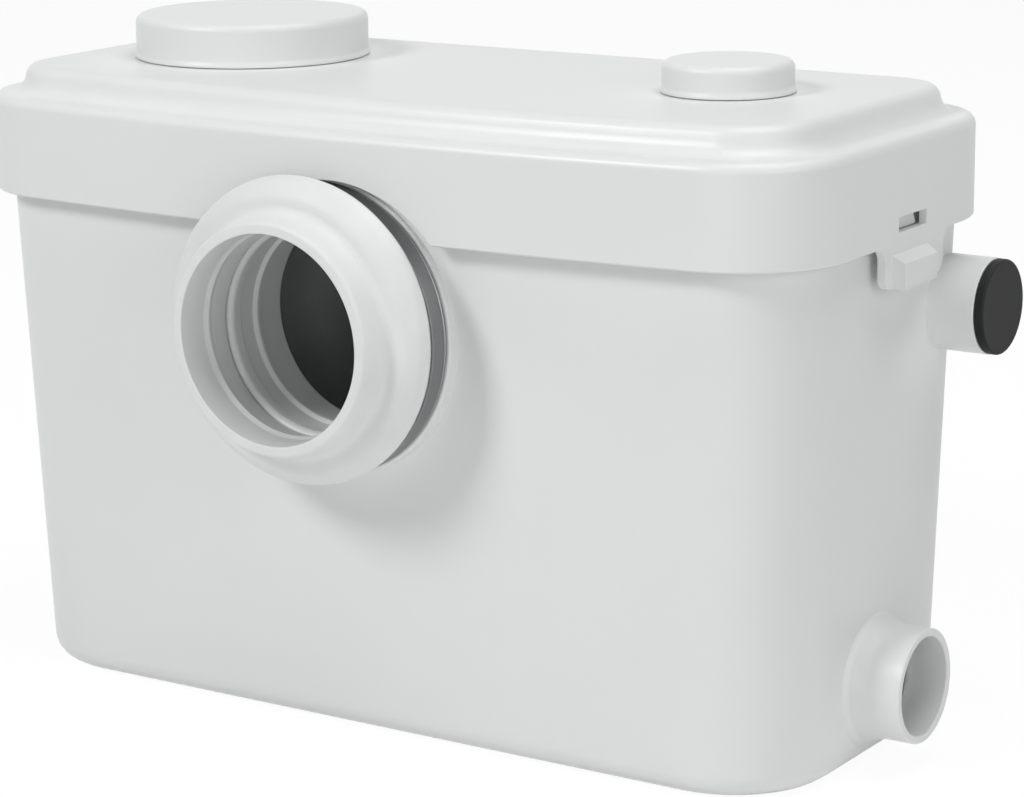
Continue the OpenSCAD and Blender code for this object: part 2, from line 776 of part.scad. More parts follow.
// Pan sleeve: rubber, pulled over the neck and held by the band clip
lip_t = 3;
lip_step = 5;
lip_seat = 2;
mouth_round = 3;
flange_t = 6;
flange_round = 3;
crease = 3;
sleeve_neck_r = mouth_r + 8;
sleeve_step = 1;
plain_bore = 17;
module sleeve_profile() {
    crown = flange_out + flange_t;
    inner = mouth_r - sleeve_step;
    difference() {
        union() {
            translate([neck_r + slip_gap, collar_out + lift_gap])
                square([sleeve_t - slip_gap, flange_out - collar_out]);
            translate([inner, flange_out]) square([flange_r - flange_round - inner, flange_t]);
            translate([inner, flange_out + flange_round])
                square([flange_r - inner, flange_t - 2 * flange_round + cut]);
            for (level = [flange_out + flange_round, crown - flange_round + cut])
                translate([flange_r - flange_round, level]) circle(flange_round);
            polygon([[inner, crown - cut], [flange_r - flange_round, crown + cut],
                [sleeve_neck_r + crease, crown + crease], [sleeve_neck_r, crown + 2 * crease],
                [mouth_r + 2 * mouth_round, mouth_out - mouth_round], [inner, mouth_out - mouth_round]]);
            translate([mouth_r + mouth_round, mouth_out - mouth_round]) circle(mouth_round);
        }
        translate([0, mouth_out - plain_bore - mouth_round])
            square([mouth_r, plain_bore + mouth_round + cut]);
    }
    for (i = [0, 1])
        translate([mouth_r - lip_h, neck_out + lip_seat + i * lip_step])
            polygon([[0, 0], [lip_h + lap, 0], [lip_h + lap, lip_t + lap], [0, lip_t - lap]]);
}

module inlet_sleeve() {
    color("whitesmoke") along_front(inlet_face_y) rotate_extrude() sleeve_profile();
}

band_z = collar_out + 2 * lift_gap;
band_w = flange_out - band_z - lift_gap;
screw_angle = 200;
screw_len = 16;
screw_r = 2.6;
screw_stub = 3;
module band_clip() {
    color("silver") along_front(inlet_face_y - band_z) difference() {
        tube(band_r, sleeve_r + slip_gap, band_w);
        rotate([0, 0, screw_angle]) translate([band_r, 0, 0])
            cube([2 * screw_r, screw_len, 3 * band_w], center = true);
    }
}

// The screw's housing sits in the band's gap and its hexagon clears the band
module band_clip_screw() {
    hex_lift = band_r + lift_gap - sleeve_r - slip_gap;
    color("silver") along_front(inlet_face_y - band_z) rotate([0, 0, screw_angle])
        translate([sleeve_r + slip_gap + screw_r, screw_len / 2 - slip_gap, band_w / 2])
            rotate([90, 0, 0]) {
                translate([-screw_r, -band_w / 2, 0])
                    cube([2 * screw_r - lap, band_w, screw_len - 2 * slip_gap]);
                translate([hex_lift, 0, -screw_stub])
                    cylinder(r = screw_r, h = screw_len + screw_stub, $fn = 6);
            }
}

plug_edge = 0.6;
plug_wall = 2;
plug_dish = 0.8;
plug_inset = 0.2;
module outlet_plug() {
    face_x = tank_side_x(outlet_z) + outlet_len + lift_gap;
    face_r = outlet_od / 2 - plug_inset;
    stem_r = outlet_bore - lift_gap;
    core = (stem_r - plug_wall) * sqrt(2);
    color("#38393b") along_x(face_x, outlet_y, outlet_z) difference() {
        union() {
            cylinder(r = face_r, h = plug_face - plug_edge);
            translate([0, 0, plug_face - plug_edge])
                cylinder(r1 = face_r, r2 = face_r - plug_edge, h = plug_edge);
            translate([0, 0, -plug_depth]) cylinder(r = stem_r, h = plug_depth + cut);
        }
        translate([-core / 2, -core / 2, -plug_depth - cut]) cube([core, core, plug_depth]);
        translate([0, 0, plug_face - plug_dish]) cylinder(r = stem_r - plug_wall, h = plug_face);
    }
}

// Deck: a tray that hangs from the rim and carries the motor and the controls
deck_gap = 0.6;
deck_inset = tank_wall + deck_gap;
chimney_wall = 2.5;
chimney_r = vent_port_r - filter_lip;
module deck_shell() {
    difference() {
        union() {
            loft([tank_ring(deck_z, deck_inset), tank_ring(rim_z + cut, deck_inset)]);
            translate([0, 0, rim_z]) linear_extrude(deck_flange)
                polygon(outline(rim_w, rim_d, rim_r, lid_bow));
        }
        loft([tank_ring(deck_top_z, deck_inset + deck_wall),
            tank_ring(rim_z + deck_flange + cut, deck_inset + deck_wall)]);
    }
}

// Vent tube: stands in the deck's hole on its collar and leads the tank's air up to the filter
module vent_tube() {
    color("lightgray") translate([vent_x, vent_y, 0]) difference() {
        union() {
            translate([0, 0, deck_z]) cylinder(r = chimney_r, h = rim_z - deck_z);
            translate([0, 0, deck_top_z + slip_gap]) cylinder(r = chimney_r + chimney_wall, h = chimney_wall);
        }
        translate([0, 0, deck_z - cut]) cylinder(r = chimney_r - chimney_wall, h = rim_z - deck_z + 2 * cut);
    }
}

module motor_deck() {
    color("lightgray") difference() {
        deck_shell();
        translate([vent_x, vent_y, deck_z - cut]) cylinder(r = chimney_r + slip_gap, h = 2 * deck_floor);
        at_motor(deck_z - cut) cylinder(r = motor_r + slip_gap, h = 2 * deck_floor);
        at_motor(deck_z - cut) ring_of(screw_count, motor_screw_ring)
            cylinder(r = screw_shank_r + slip_gap, h = 2 * deck_floor);
        translate([switch_x, switch_y, deck_z - cut])
            cylinder(r = dip_r + slip_gap, h = 2 * deck_floor);
        lead_notch();
    }
}

// Motor
screw_count = 4;
screw_shank_r = 1.75;
screw_head_r = 3.5;
screw_head_h = 2.5;
motor_screw_ring = (motor_r + motor_flange_r) / 2;
boss_wall = 3;
module motor_housing() {
    color("silver") difference() {
        union() {
            at_motor(motor_base_z) cylinder(r = motor_r, h = motor_top_z - motor_base_z);
            at_motor(motor_base_z) cylinder(r = motor_flange_r, h = motor_flange_t);
            at_motor(deck_top_z) cylinder(r = motor_flange_r, h = motor_flange_t);
        }
        at_motor(lower_bearing_z + bearing_w) cylinder(r = motor_r - motor_wall, h = motor_top_z);
        at_motor(lower_bearing_z) cylinder(r = bearing_r + slip_gap, h = motor_top_z);
        at_motor(motor_base_z - cut) cylinder(r = shaft_r + shaft_room, h = motor_top_z);
        at_motor(motor_base_z - cut) cylinder(r = seal_seat_r + slip_gap, h = seal_h + cut);
        at_motor(deck_top_z - cut) ring_of(screw_count, motor_screw_ring)
            cylinder(r = screw_shank_r + slip_gap, h = 2 * motor_flange_t);
    }
}

cover_round = 3;
module motor_end_cover() {
    boss_r = bearing_r + boss_wall;
    hollow_h = end_cover_h - cover_round;
    color("silver") difference() {
        union() {
            at_motor(motor_top_z) cylinder(r = motor_r, h = hollow_h);
            at_motor(cover_top_z - cover_round)
                cylinder(r1 = motor_r, r2 = motor_r - cover_round, h = cover_round);
            at_motor(upper_bearing_z) cylinder(r = boss_r, h = bearing_drop + lap);
        }
        at_motor(upper_bearing_z - cut) cylinder(r = bearing_r + slip_gap, h = bearing_w + cut);
        at_motor(motor_top_z) cylinder(r = shaft_r + shaft_room, h = hollow_h);
        at_motor(motor_top_z - cut) tube(motor_r - motor_wall, boss_r, hollow_h);
    }
}

module motor_screws() {
    color("dimgray") at_motor(0) ring_of(screw_count, motor_screw_ring) {
        translate([0, 0, deck_z]) cylinder(r = screw_shank_r, h = motor_top_z - deck_z + lap);
        translate([0, 0, motor_top_z]) cylinder(r = screw_head_r, h = screw_head_h);
    }
}

stator_r = motor_r - motor_wall - slip_gap;
module stator_core() {
    color("slategray") at_motor(stator_z) tube(stator_r, rotor_r + rotor_gap, stator_h);
}

winding_margin = 3;
module stator_winding() {
    outer = stator_r - winding_margin;
    inner = rotor_r + rotor_gap + winding_margin;
    color("chocolate") for (low = [stator_z - winding_h, stator_z + stator_h])
        at_motor(low) rotate_extrude() hull() {
            translate([inner + winding_margin, winding_margin]) circle(winding_margin, $fn = 16);
            translate([outer - winding_margin, winding_margin]) circle(winding_margin, $fn = 16);
            translate([inner, winding_h - winding_margin]) square([outer - inner, winding_margin]);
        }
}

race_t = 2.5;
race_dip = 0.6;
module bearing(z) {
    color("silver") at_motor(z) difference() {
        cylinder(r = bearing_r, h = bearing_w);
        translate([0, 0, -cut]) cylinder(r = shaft_r + run_gap, h = bearing_w + 2 * cut);
        for (level = [-cut, bearing_w - race_dip])
            translate([0, 0, level]) tube(bearing_r - race_t, shaft_r + race_t, race_dip + cut);
    }
}

module upper_bearing() {
    bearing(upper_bearing_z);
}

module lower_bearing() {
    bearing(lower_bearing_z);
}

seal_seat_r = 12;
module shaft_seal() {
    color("dimgray") at_motor(motor_base_z) tube(seal_seat_r, shaft_r + run_gap, seal_h);
}

// Rotor: everything that turns with the shaft
module motor_shaft() {
    color("lightsteelblue") at_motor(shaft_bottom_z)
        cylinder(r = shaft_r, h = shaft_top_z - shaft_bottom_z);
}

module rotor_core() {
    color("slategray") at_motor(stator_z) tube(rotor_r, shaft_r + slip_gap / 2, stator_h);
}

arm_root_w = 18;
arm_tip_w = 9;
tooth_w = 3;
tooth_len = 5;
tooth_h = 9;
tooth_inset = 8;
module cutter_arm() {
    half = arm_root_w / 2;
    linear_extrude(cutter_t) intersection() {
        polygon([[0, -half], [cutter_r, -half], [cutter_r, arm_tip_w - half], [0, half]]);
        circle(cutter_r - cut);
    }
    translate([cutter_r - tooth_inset, -half, 0]) cube([tooth_len, tooth_w, cutter_t + tooth_h]);
}

module cutter() {
    color("silver") at_motor(cutter_z) difference() {
        union() {
            cylinder(r = hub_r + tooth_w, h = cutter_t);
            for (i = [0 : cutter_arms - 1]) rotate([0, 0, 360 * i / cutter_arms]) cutter_arm();
        }
        translate([0, 0, -cut]) cylinder(r = shaft_r + slip_gap / 2, h = cutter_t + 2 * cut);
    }
}

module nut(z) {
    color("silver") at_motor(z) difference() {
        cylinder(r = hub_r - lap, h = nut_h, $fn = 6);
        translate([0, 0, -cut]) cylinder(r = shaft_r + slip_gap / 2, h = nut_h + 2 * cut);
    }
}

module cutter_nut() {
    nut(cutter_z + cutter_t);
}

vane_t = 3;
vane_h = 12;
vane_sweep = 34;
module impeller() {
    disc_t = impeller_h - vane_h;
    color("darkgray") at_motor(impeller_z) difference() {
        union() {
            translate([0, 0, vane_h]) cylinder(r = impeller_r, h = disc_t);
            cylinder(r = hub_r, h = impeller_h);
            for (i = [0 : impeller_vanes - 1]) rotate([0, 0, 360 * i / impeller_vanes])
                linear_extrude(vane_h + lap) intersection() {
                    translate([0, -vane_sweep]) difference() {
                        circle(vane_sweep);
                        circle(vane_sweep - vane_t);
                    }
                    translate([0, -vane_sweep]) square([impeller_r, vane_sweep]);
                    difference() {
                        circle(impeller_r - cut);
                        circle(hub_r - cut);
                    }
                }
        }
        translate([0, 0, -cut]) cylinder(r = shaft_r + slip_gap / 2, h = impeller_h + 2 * cut);
    }
}

module impeller_nut() {
    nut(impeller_z - nut_h);
}

// Cutter basket: a slotted trough from under the inlet to the cutter
module basket_plan(inset) {
    translate([motor_x, motor_y]) circle(basket_r - inset);
    translate([inlet_x, motor_y]) circle(basket_r - inset);
    translate([motor_x, motor_y - basket_r + inset]) square([inlet_x - motor_x, 2 * (basket_r - inset)]);
}

slot_foot = 4;
slot_head = 6;
module basket_slots() {
    slot_h = basket_h - basket_wall - slot_foot - slot_head;
    middle_z = basket_z + basket_wall + slot_foot + slot_h / 2;
    length = inlet_x - motor_x;
    straight = floor(length / basket_pitch);
    round = floor(PI * basket_r / basket_pitch);
    for (i = [0 : straight - 1]) for (side = [-1, 1])
        translate([motor_x + (i + 0.5) * length / straight, motor_y + side * basket_r, middle_z])
            cube([basket_slot, 4 * basket_wall, slot_h], center = true);
    for (end = [0, 1]) for (i = [0 : round - 1])
        translate([motor_x + end * length, motor_y, middle_z])
            rotate([0, 0, 90 - 180 * end + (i + 0.5) * 180 / round])
                translate([basket_r, 0, 0]) cube([4 * basket_wall, basket_slot, slot_h], center = true);
}

module macerator_basket() {
    color("lightgray") difference() {
        translate([0, 0, basket_z]) linear_extrude(basket_h) basket_plan(0);
        translate([0, 0, basket_z + basket_wall]) linear_extrude(basket_h) basket_plan(basket_wall);
        basket_slots();
        at_motor(basket_z - cut) cylinder(r = hub_r, h = 2 * basket_wall);
        at_motor(basket_z - cut) ring_of(screw_count, pump_screw_ring)
            cylinder(r = screw_shank_r + slip_gap, h = 2 * basket_wall);
    }
}

// Pump: a spiral volute under the basket, closed by its suction cover
spiral_steps = 48;
function spiral(low, high) = [for (i = [0 : spiral_steps])
    let (a = 90 - 360 * i / spiral_steps, r = low + (high - low) * i / spiral_steps)
        [r * cos(a), r * sin(a)]];
volute_top_t = 6;
screw_bite = 4;
pump_screw_ring = volute_start_r - volute_wall - screw_head_r - cut;
module nozzle(r, extra) {
    translate([motor_x, nozzle_y, nozzle_z]) rotate([0, 90, run_angle])
        translate([0, 0, -extra]) cylinder(r = r, h = nozzle_len + 2 * extra);
}

module volute() {
    inlet_gap = 4;
    color("darkgray") difference() {
        union() {
            at_motor(volute_z) linear_extrude(volute_h) polygon(spiral(volute_start_r, volute_end_r));
            nozzle(pipe_r, 0);
        }
        at_motor(volute_z - cut) linear_extrude(volute_h - volute_top_t + cut)
            polygon(spiral(volute_start_r - volute_wall, volute_end_r - volute_wall));
        intersection() {
            nozzle(pipe_bore, cut);
            translate([motor_x + inlet_gap, motor_y, volute_z])
                cube([2 * nozzle_len, 2 * volute_end_r, volute_h]);
        }
        at_motor(volute_z) cylinder(r = hub_r + shaft_room, h = 2 * volute_h);
        at_motor(basket_z - screw_bite) ring_of(screw_count, pump_screw_ring)
            cylinder(r = screw_shank_r + slip_gap, h = 2 * screw_bite);
    }
}

eye_wall = 3;
eye_drop = 4;
module volute_cover() {
    color("darkgray") at_motor(volute_z - cover_t) difference() {
        union() {
            linear_extrude(cover_t) polygon(spiral(volute_start_r, volute_end_r));
            translate([0, 0, -eye_drop]) cylinder(r = eye_r + eye_wall, h = eye_drop + lap);
        }
        translate([0, 0, -eye_drop - cut]) cylinder(r = eye_r, h = cover_t + eye_drop + 2 * cut);
    }
}

module pump_screws() {
    low = basket_z - screw_bite + slip_gap;
    head_z = basket_z + basket_wall;
    color("dimgray") at_motor(0) ring_of(screw_count, pump_screw_ring) {
        translate([0, 0, low]) cylinder(r = screw_shank_r, h = head_z - low + lap);
        translate([0, 0, head_z]) cylinder(r = screw_head_r, h = screw_head_h);
    }
}

// Discharge: pipe, non-return valve, elbow, and the couplings between them
module quarter_bend(r) {
    rotate_extrude(angle = 90) translate([bend_r, 0]) circle(r);
}

module run_place() {
    translate([motor_x, nozzle_y, nozzle_z]) rotate([0, 0, run_angle]) children();
}

module pipe_run(r, extra) {
    start = nozzle_len + slip_gap;
    run_place() {
        translate([start - extra, 0, 0]) rotate([0, 90, 0])
            cylinder(r = r, h = run_len - bend_r - start + extra);
        translate([run_len - bend_r, 0, bend_r]) rotate([-90, 0, 0]) quarter_bend(r);
        translate([run_len, 0, bend_r]) cylinder(r = r, h = riser_stub - slip_gap + extra);
    }
}

module discharge_pipe() {
    color("lightgray") difference() {
        pipe_run(pipe_r, 0);
        pipe_run(pipe_bore, cut);
    }
}

// The valve's body: two pipe ends, a wider room and the seat of its flap
valve_neck = 7;
valve_wall = 2;
seat_lap = 1.5;
module valve_body() {
    room_h = valve_top_z - valve_neck - valve_wall - outlet_seat_z;
    color("lightgray") translate([riser_x, outlet_y, 0]) difference() {
        translate([0, 0, valve_z]) {
            cylinder(r = pipe_r, h = valve_h);
            translate([0, 0, valve_neck]) cylinder(r = valve_r, h = valve_h - 2 * valve_neck);
        }
        translate([0, 0, valve_z - cut]) cylinder(r = outlet_flap_r - seat_lap, h = valve_h);
        translate([0, 0, outlet_seat_z]) cylinder(r = valve_r - valve_wall, h = room_h);
        translate([0, 0, outlet_seat_z + room_h - cut]) cylinder(r = pipe_bore, h = valve_h);
        translate([-riser_x, -outlet_y, 0]) outlet_pin(outlet_pin_r + run_gap, outlet_pin_len + 2 * lap);
    }
}

module elbow_run(r, extra) {
    low = valve_top_z + slip_gap;
    translate([riser_x, outlet_y, low - extra]) cylinder(r = r, h = outlet_z - bend_r - low + extra);
    translate([riser_x + bend_r, outlet_y, outlet_z - bend_r]) rotate([90, 0, 180]) quarter_bend(r);
    along_x(riser_x + bend_r, outlet_y, outlet_z)
        cylinder(r = r, h = nipple_x - slip_gap - riser_x - bend_r + extra);
}

module outlet_elbow() {
    color("lightgray") difference() {
        elbow_run(pipe_r, 0);
        elbow_run(pipe_bore, cut);
    }
}

// Places where two pipe ends meet, each with its pipe's direction as Z
module at_couplings() {
    run_place() translate([nozzle_len, 0, 0]) rotate([0, 90, 0]) children();
    along_x(nipple_x, outlet_y, outlet_z) children();
}

module coupling_sleeves() {
    color("dimgray") at_couplings()
        translate([0, 0, -coupling_len / 2]) tube(coupling_r, pipe_r + slip_gap, coupling_len);
}

module coupling_clips() {
    color("silver") at_couplings() for (side = [-1, 1])
        translate([0, 0, side * (coupling_len / 2 - clip_w) - clip_w / 2])
            tube(coupling_r + slip_gap + clip_t, coupling_r + slip_gap, clip_w);
}

module outlet_pin(r, len) {
    translate([outlet_pin_x, outlet_y, outlet_flap_z + outlet_flap_t / 2]) rotate([90, 0, 0])
        cylinder(r = r, h = len, center = true);
}

outlet_lug_w = 8;
outlet_lug_len = 5;
module outlet_flap() {
    color("#46484a") {
        translate([riser_x, outlet_y, outlet_flap_z]) cylinder(r = outlet_flap_r, h = outlet_flap_t);
        translate([outlet_pin_x, outlet_y - outlet_lug_w / 2, outlet_flap_z])
            cube([outlet_lug_len, outlet_lug_w, outlet_flap_t]);
        outlet_pin(outlet_pin_r, outlet_pin_len);
    }
}

// Side inlet's non-return flap on its seat, which carries the flap's pin in two ears
module side_valve_seat() {
    flange_x = seat_face_x - seat_flange_t;
    color("lightgray") {
        along_x(flange_x, side_y, side_z) difference() {
            union() {
                cylinder(r = seat_flange_r, h = seat_flange_t);
                cylinder(r = side_bore - slip_gap, h = seat_flange_t + seat_depth);
            }
            translate([0, 0, -cut]) cylinder(r = seat_hole_r, h = seat_flange_t + seat_depth + 2 * cut);
        }
        for (side = [-1, 1]) translate([0, side_y + side * (flap_pin_len - flap_ear_t) / 2, 0]) difference() {
            rotate([90, 0, 0]) linear_extrude(flap_ear_t, center = true) {
                translate([flap_pin_x, flap_pin_z]) circle(flap_ear_r);
                translate([flap_pin_x, flap_pin_z - flap_ear_r])
                    square([seat_face_x - flap_pin_x, 2 * flap_ear_r]);
                translate([flange_x, side_z + seat_hole_r])
                    square([seat_flange_t, flap_pin_z - side_z - seat_hole_r]);
            }
            translate([flap_pin_x, 0, flap_pin_z]) rotate([90, 0, 0])
                cylinder(r = flap_pin_r + run_gap, h = 2 * flap_ear_t, center = true);
        }
    }
}

knuckle_wall = 0.8;
module side_flap() {
    knuckle = flap_pin_len - 2 * flap_ear_t - 2 * lift_gap;
    color("#46484a") {
        along_x(flap_x - flap_t, side_y, side_z) cylinder(r = seat_hole_r + flap_lap, h = flap_t);
        translate([flap_x - flap_t, side_y - knuckle / 2, side_z])
            cube([flap_t, knuckle, flap_pin_z - side_z]);
        translate([flap_pin_x, side_y, flap_pin_z]) rotate([90, 0, 0]) {
            cylinder(r = flap_t / 2 + knuckle_wall, h = knuckle, center = true);
            cylinder(r = flap_pin_r, h = flap_pin_len, center = true);
        }
    }
}

// Controls on the deck
dip_wall = 2;
dip_flange = 3;
dip_lip = 4;
module at_switch(z) {
    translate([switch_x, switch_y, z]) children();
}

module dip_tube() {
    top = deck_top_z + dip_flange;
    color("lightgray") at_switch(0) difference() {
        union() {
            translate([0, 0, tank_wall + dip_gap]) cylinder(r = dip_r, h = top - tank_wall - dip_gap);
            translate([0, 0, deck_top_z]) cylinder(r = dip_r + dip_lip, h = dip_flange);
        }
        translate([0, 0, tank_wall + dip_gap - cut]) cylinder(r = dip_r - dip_wall, h = top);
    }
}

switch_z = deck_top_z + dip_flange;
switch_brim_h = 3;
switch_brim = 2;
switch_shoulder = 8;
switch_step = 3;
plunger_r = 2.5;
plunger_travel = 1.5;
plunger_seat = 4;
plunger_proud = 1;
module pressure_switch() {
    dome_r = switch_r - switch_brim;
    color("#505254") at_switch(switch_z) difference() {
        union() {
            cylinder(r = switch_r, h = switch_brim_h);
            cylinder(r = dome_r, h = switch_h - switch_step);
            cylinder(r = dome_r - switch_shoulder, h = switch_h);
        }
        translate([0, 0, -cut]) cylinder(r = dip_r - dip_wall, h = switch_brim_h);
        translate([0, 0, plunger_seat]) cylinder(r = plunger_r + lift_gap, h = switch_h);
    }
}

module switch_plunger() {
    color("whitesmoke") at_switch(switch_z + plunger_seat)
        cylinder(r = plunger_r, h = switch_h - plunger_seat + plunger_proud);
}

// The microswitch stands on the pressure switch's shoulder on two legs
micro_h = 8;
micro_w = 12;
micro_leg = 2;
module microswitch() {
    foot_z = switch_z + switch_h - switch_step;
    under_z = switch_z + switch_h + plunger_proud + plunger_travel + lift_gap;
    leg_x = switch_r - switch_brim - switch_shoulder + lap;
    color("#505254") at_switch(0) {
        translate([-leg_x - micro_leg, -micro_w / 2, under_z])
            cube([2 * (leg_x + micro_leg), micro_w, micro_h]);
        for (left = [-leg_x - micro_leg, leg_x])
            translate([left, -micro_w / 2, foot_z]) cube([micro_leg, micro_w, under_z - foot_z + lap]);
    }
}

capacitor_x = 4;
capacitor_y = 36;
capacitor_tag_r = 1.2;
capacitor_tag_len = 7;
clip_wall = 2;
capacitor_z = deck_top_z + clip_wall + capacitor_r + slip_gap;
module run_capacitor() {
    color("whitesmoke") along_x(capacitor_x - capacitor_len / 2, capacitor_y, capacitor_z) {
        cylinder(r = capacitor_r, h = capacitor_len);
        for (side = [-1, 1])
            translate([0, side * capacitor_r / 2, capacitor_len - lap])
                cylinder(r = capacitor_tag_r, h = capacitor_tag_len + lap);
    }
}

clip_len = 20;
clip_foot = 4;
clip_foot_t = 3;
module capacitor_clip() {
    inner_r = capacitor_r + slip_gap;
    foot_half = capacitor_r + clip_foot;
    color("lightgray") difference() {
        union() {
            along_x(capacitor_x - clip_len / 2, capacitor_y, capacitor_z)
                cylinder(r = inner_r + clip_wall, h = clip_len);
            translate([capacitor_x - clip_len / 2, capacitor_y - foot_half, deck_top_z])
                cube([clip_len, 2 * foot_half, clip_foot_t]);
        }
        along_x(capacitor_x - clip_len, capacitor_y, capacitor_z) cylinder(r = inner_r, h = 2 * clip_len);
        translate([capacitor_x - clip_len, capacitor_y - 2 * inner_r, capacitor_z + capacitor_r / 2])
            cube([2 * clip_len, 4 * inner_r, 2 * inner_r]);
    }
}

terminal_x = 4;
terminal_y = -6;
terminal_ways = 5;
terminal_w = 18;
terminal_low = 7;
terminal_ridge_w = 10;
terminal_h = 14;
terminal_hole_r = 2.2;
terminal_hole_h = 6;
module terminal_block() {
    pitch = terminal_len / terminal_ways;
    color("ivory") translate([terminal_x - terminal_len / 2, terminal_y, deck_top_z]) difference() {
        union() {
            translate([0, -terminal_w / 2, 0]) cube([terminal_len, terminal_w, terminal_low]);
            translate([0, -terminal_ridge_w / 2, 0]) cube([terminal_len, terminal_ridge_w, terminal_h]);
        }
        for (i = [0 : terminal_ways - 1])
            translate([(i + 0.5) * pitch, 0, terminal_h - terminal_hole_h])
                cylinder(r = terminal_hole_r, h = terminal_hole_h + cut);
    }
}

tank();
pan_neck();
side_spigot();
outlet_spigot();
lid();
lid_gasket();
filter_holder();
motor_cap();
motor_cap_seal();
vent_cap();
carbon_filter();
lead_grommet();
inlet_sleeve();
band_clip();
band_clip_screw();
outlet_plug();
motor_deck();
vent_tube();
motor_housing();
motor_end_cover();
motor_screws();
stator_core();
stator_winding();
upper_bearing();
lower_bearing();
shaft_seal();
motor_shaft();
rotor_core();
cutter();
cutter_nut();
impeller();
impeller_nut();
macerator_basket();
volute();
volute_cover();
pump_screws();
discharge_pipe();
valve_body();
outlet_elbow();
coupling_sleeves();
coupling_clips();
outlet_flap();
side_valve_seat();
side_flap();
dip_tube();
pressure_switch();
switch_plunger();
microswitch();
run_capacitor();
capacitor_clip();
terminal_block();
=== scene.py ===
import json
import math

import bmesh
import bpy
from mathutils import Matrix, Vector


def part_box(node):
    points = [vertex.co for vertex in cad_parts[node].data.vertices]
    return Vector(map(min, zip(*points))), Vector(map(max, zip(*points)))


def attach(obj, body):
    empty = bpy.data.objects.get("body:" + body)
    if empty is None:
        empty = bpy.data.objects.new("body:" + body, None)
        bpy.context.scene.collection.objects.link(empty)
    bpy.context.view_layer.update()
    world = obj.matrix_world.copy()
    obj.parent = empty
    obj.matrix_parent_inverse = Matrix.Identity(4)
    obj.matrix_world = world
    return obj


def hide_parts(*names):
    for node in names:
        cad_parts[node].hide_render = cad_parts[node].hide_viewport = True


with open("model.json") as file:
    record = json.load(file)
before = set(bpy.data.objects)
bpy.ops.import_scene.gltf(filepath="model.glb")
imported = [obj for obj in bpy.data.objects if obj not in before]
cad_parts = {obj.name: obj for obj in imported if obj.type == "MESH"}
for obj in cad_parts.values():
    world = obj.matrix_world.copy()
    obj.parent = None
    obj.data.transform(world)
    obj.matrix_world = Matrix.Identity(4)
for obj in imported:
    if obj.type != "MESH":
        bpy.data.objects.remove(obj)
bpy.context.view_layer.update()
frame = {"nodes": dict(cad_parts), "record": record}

nodes = frame["nodes"]
slot_of = {part["node"]: part["material_slot"] for part in frame["record"]["subparts"]}
mount_at = {mount["name"]: Vector(mount["pos_m"]) for mount in frame["record"]["mounts"]}

MM = 0.001
UP = Vector((0, 0, 1))
TO_PAN = Vector((0, -1, 0))
TO_PIPES = Vector((1, 0, 0))
NEAR = 0.05 * MM

TURN_STEPS = 144
ARC_STEP = math.radians(9)
WELD, FACET_WELD = 1e-6, 2e-5
FLAT_ANGLE = math.radians(0.4)
TURNED_SMOOTH, MOULDED_SMOOTH = math.radians(50), math.radians(32)


# Workshop: how pieces are shaped

def put_down():
    """Leaves edit mode and lets go of everything."""
    if bpy.context.mode != "OBJECT":
        bpy.ops.object.mode_set(mode="OBJECT")
    bpy.ops.object.select_all(action="DESELECT")


def hold(piece):
    """Picks one piece up and nothing else."""
    put_down()
    piece.select_set(True)
    bpy.context.view_layer.objects.active = piece


def take(piece):
    """Opens one piece in edit mode, with all of it selected."""
    hold(piece)
    bpy.ops.object.mode_set(mode="EDIT")
    bpy.ops.mesh.select_all(action="SELECT")


def pick(piece, kind, wanted):
    """Selects the corners, edges or faces of the piece in hand that a test of place wants."""
    bpy.ops.mesh.select_mode(type={"verts": "VERT", "edges": "EDGE", "faces": "FACE"}[kind])
    bpy.ops.mesh.select_all(action="DESELECT")
    mesh = bmesh.from_edit_mesh(piece.data)
    for part in getattr(mesh, kind):
        if wanted(part):
            part.select_set(True)
    bmesh.update_edit_mesh(piece.data)


def worked(piece, name, kind, **settings):
    """Works one modifier into the piece's own mesh."""
    hold(piece)
    step = piece.modifiers.new(name, kind)
    for setting, value in settings.items():
        setattr(step, setting, value)
    bpy.ops.object.modifier_apply(modifier=step.name)


def finish_faces(piece, smooth_below):
    """Smooths the gentle edges and lets the large faces set the shading at them."""
    hold(piece)
    bpy.ops.object.shade_smooth_by_angle(angle=smooth_below)
    worked(piece, "even_faces", "WEIGHTED_NORMAL", keep_sharp=True)
    put_down()


def place_piece(piece, body, slot, *replaced):
    """Hangs a finished piece on its body, with its finish, in the stead of the solids it dresses."""
    piece.data.materials.clear()
    piece.data.materials.append(finishes[slot])
    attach(piece, body)
    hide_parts(*replaced)


def middle(low, high):
    """The middle of a box."""
    return Vector([(a + b) / 2 for a, b in zip(low, high)])


def rounded(corners):
    """The points of a closed outline. A corner is (radius, height, fillet), and a fillet becomes an arc."""
    points = []
    for i, (radius, height, fillet) in enumerate(corners):
        here = Vector((radius, height))
        if not fillet:
            points.append(here)
            continue
        back = (Vector(corners[i - 1][:2]) - here).normalized()
        ahead = (Vector(corners[(i + 1) % len(corners)][:2]) - here).normalized()
        half = back.angle(ahead) / 2
        centre = here + (back + ahead).normalized() * fillet / math.sin(half)
        spoke = here + back * fillet / math.tan(half) - centre
        sweep = math.copysign(math.pi - 2 * half, back.cross(ahead))
        steps = max(3, round(abs(sweep) / ARC_STEP))
        for k in range(steps + 1):
            points.append(centre + Matrix.Rotation(-sweep * k / steps, 2) @ spoke)
    return points


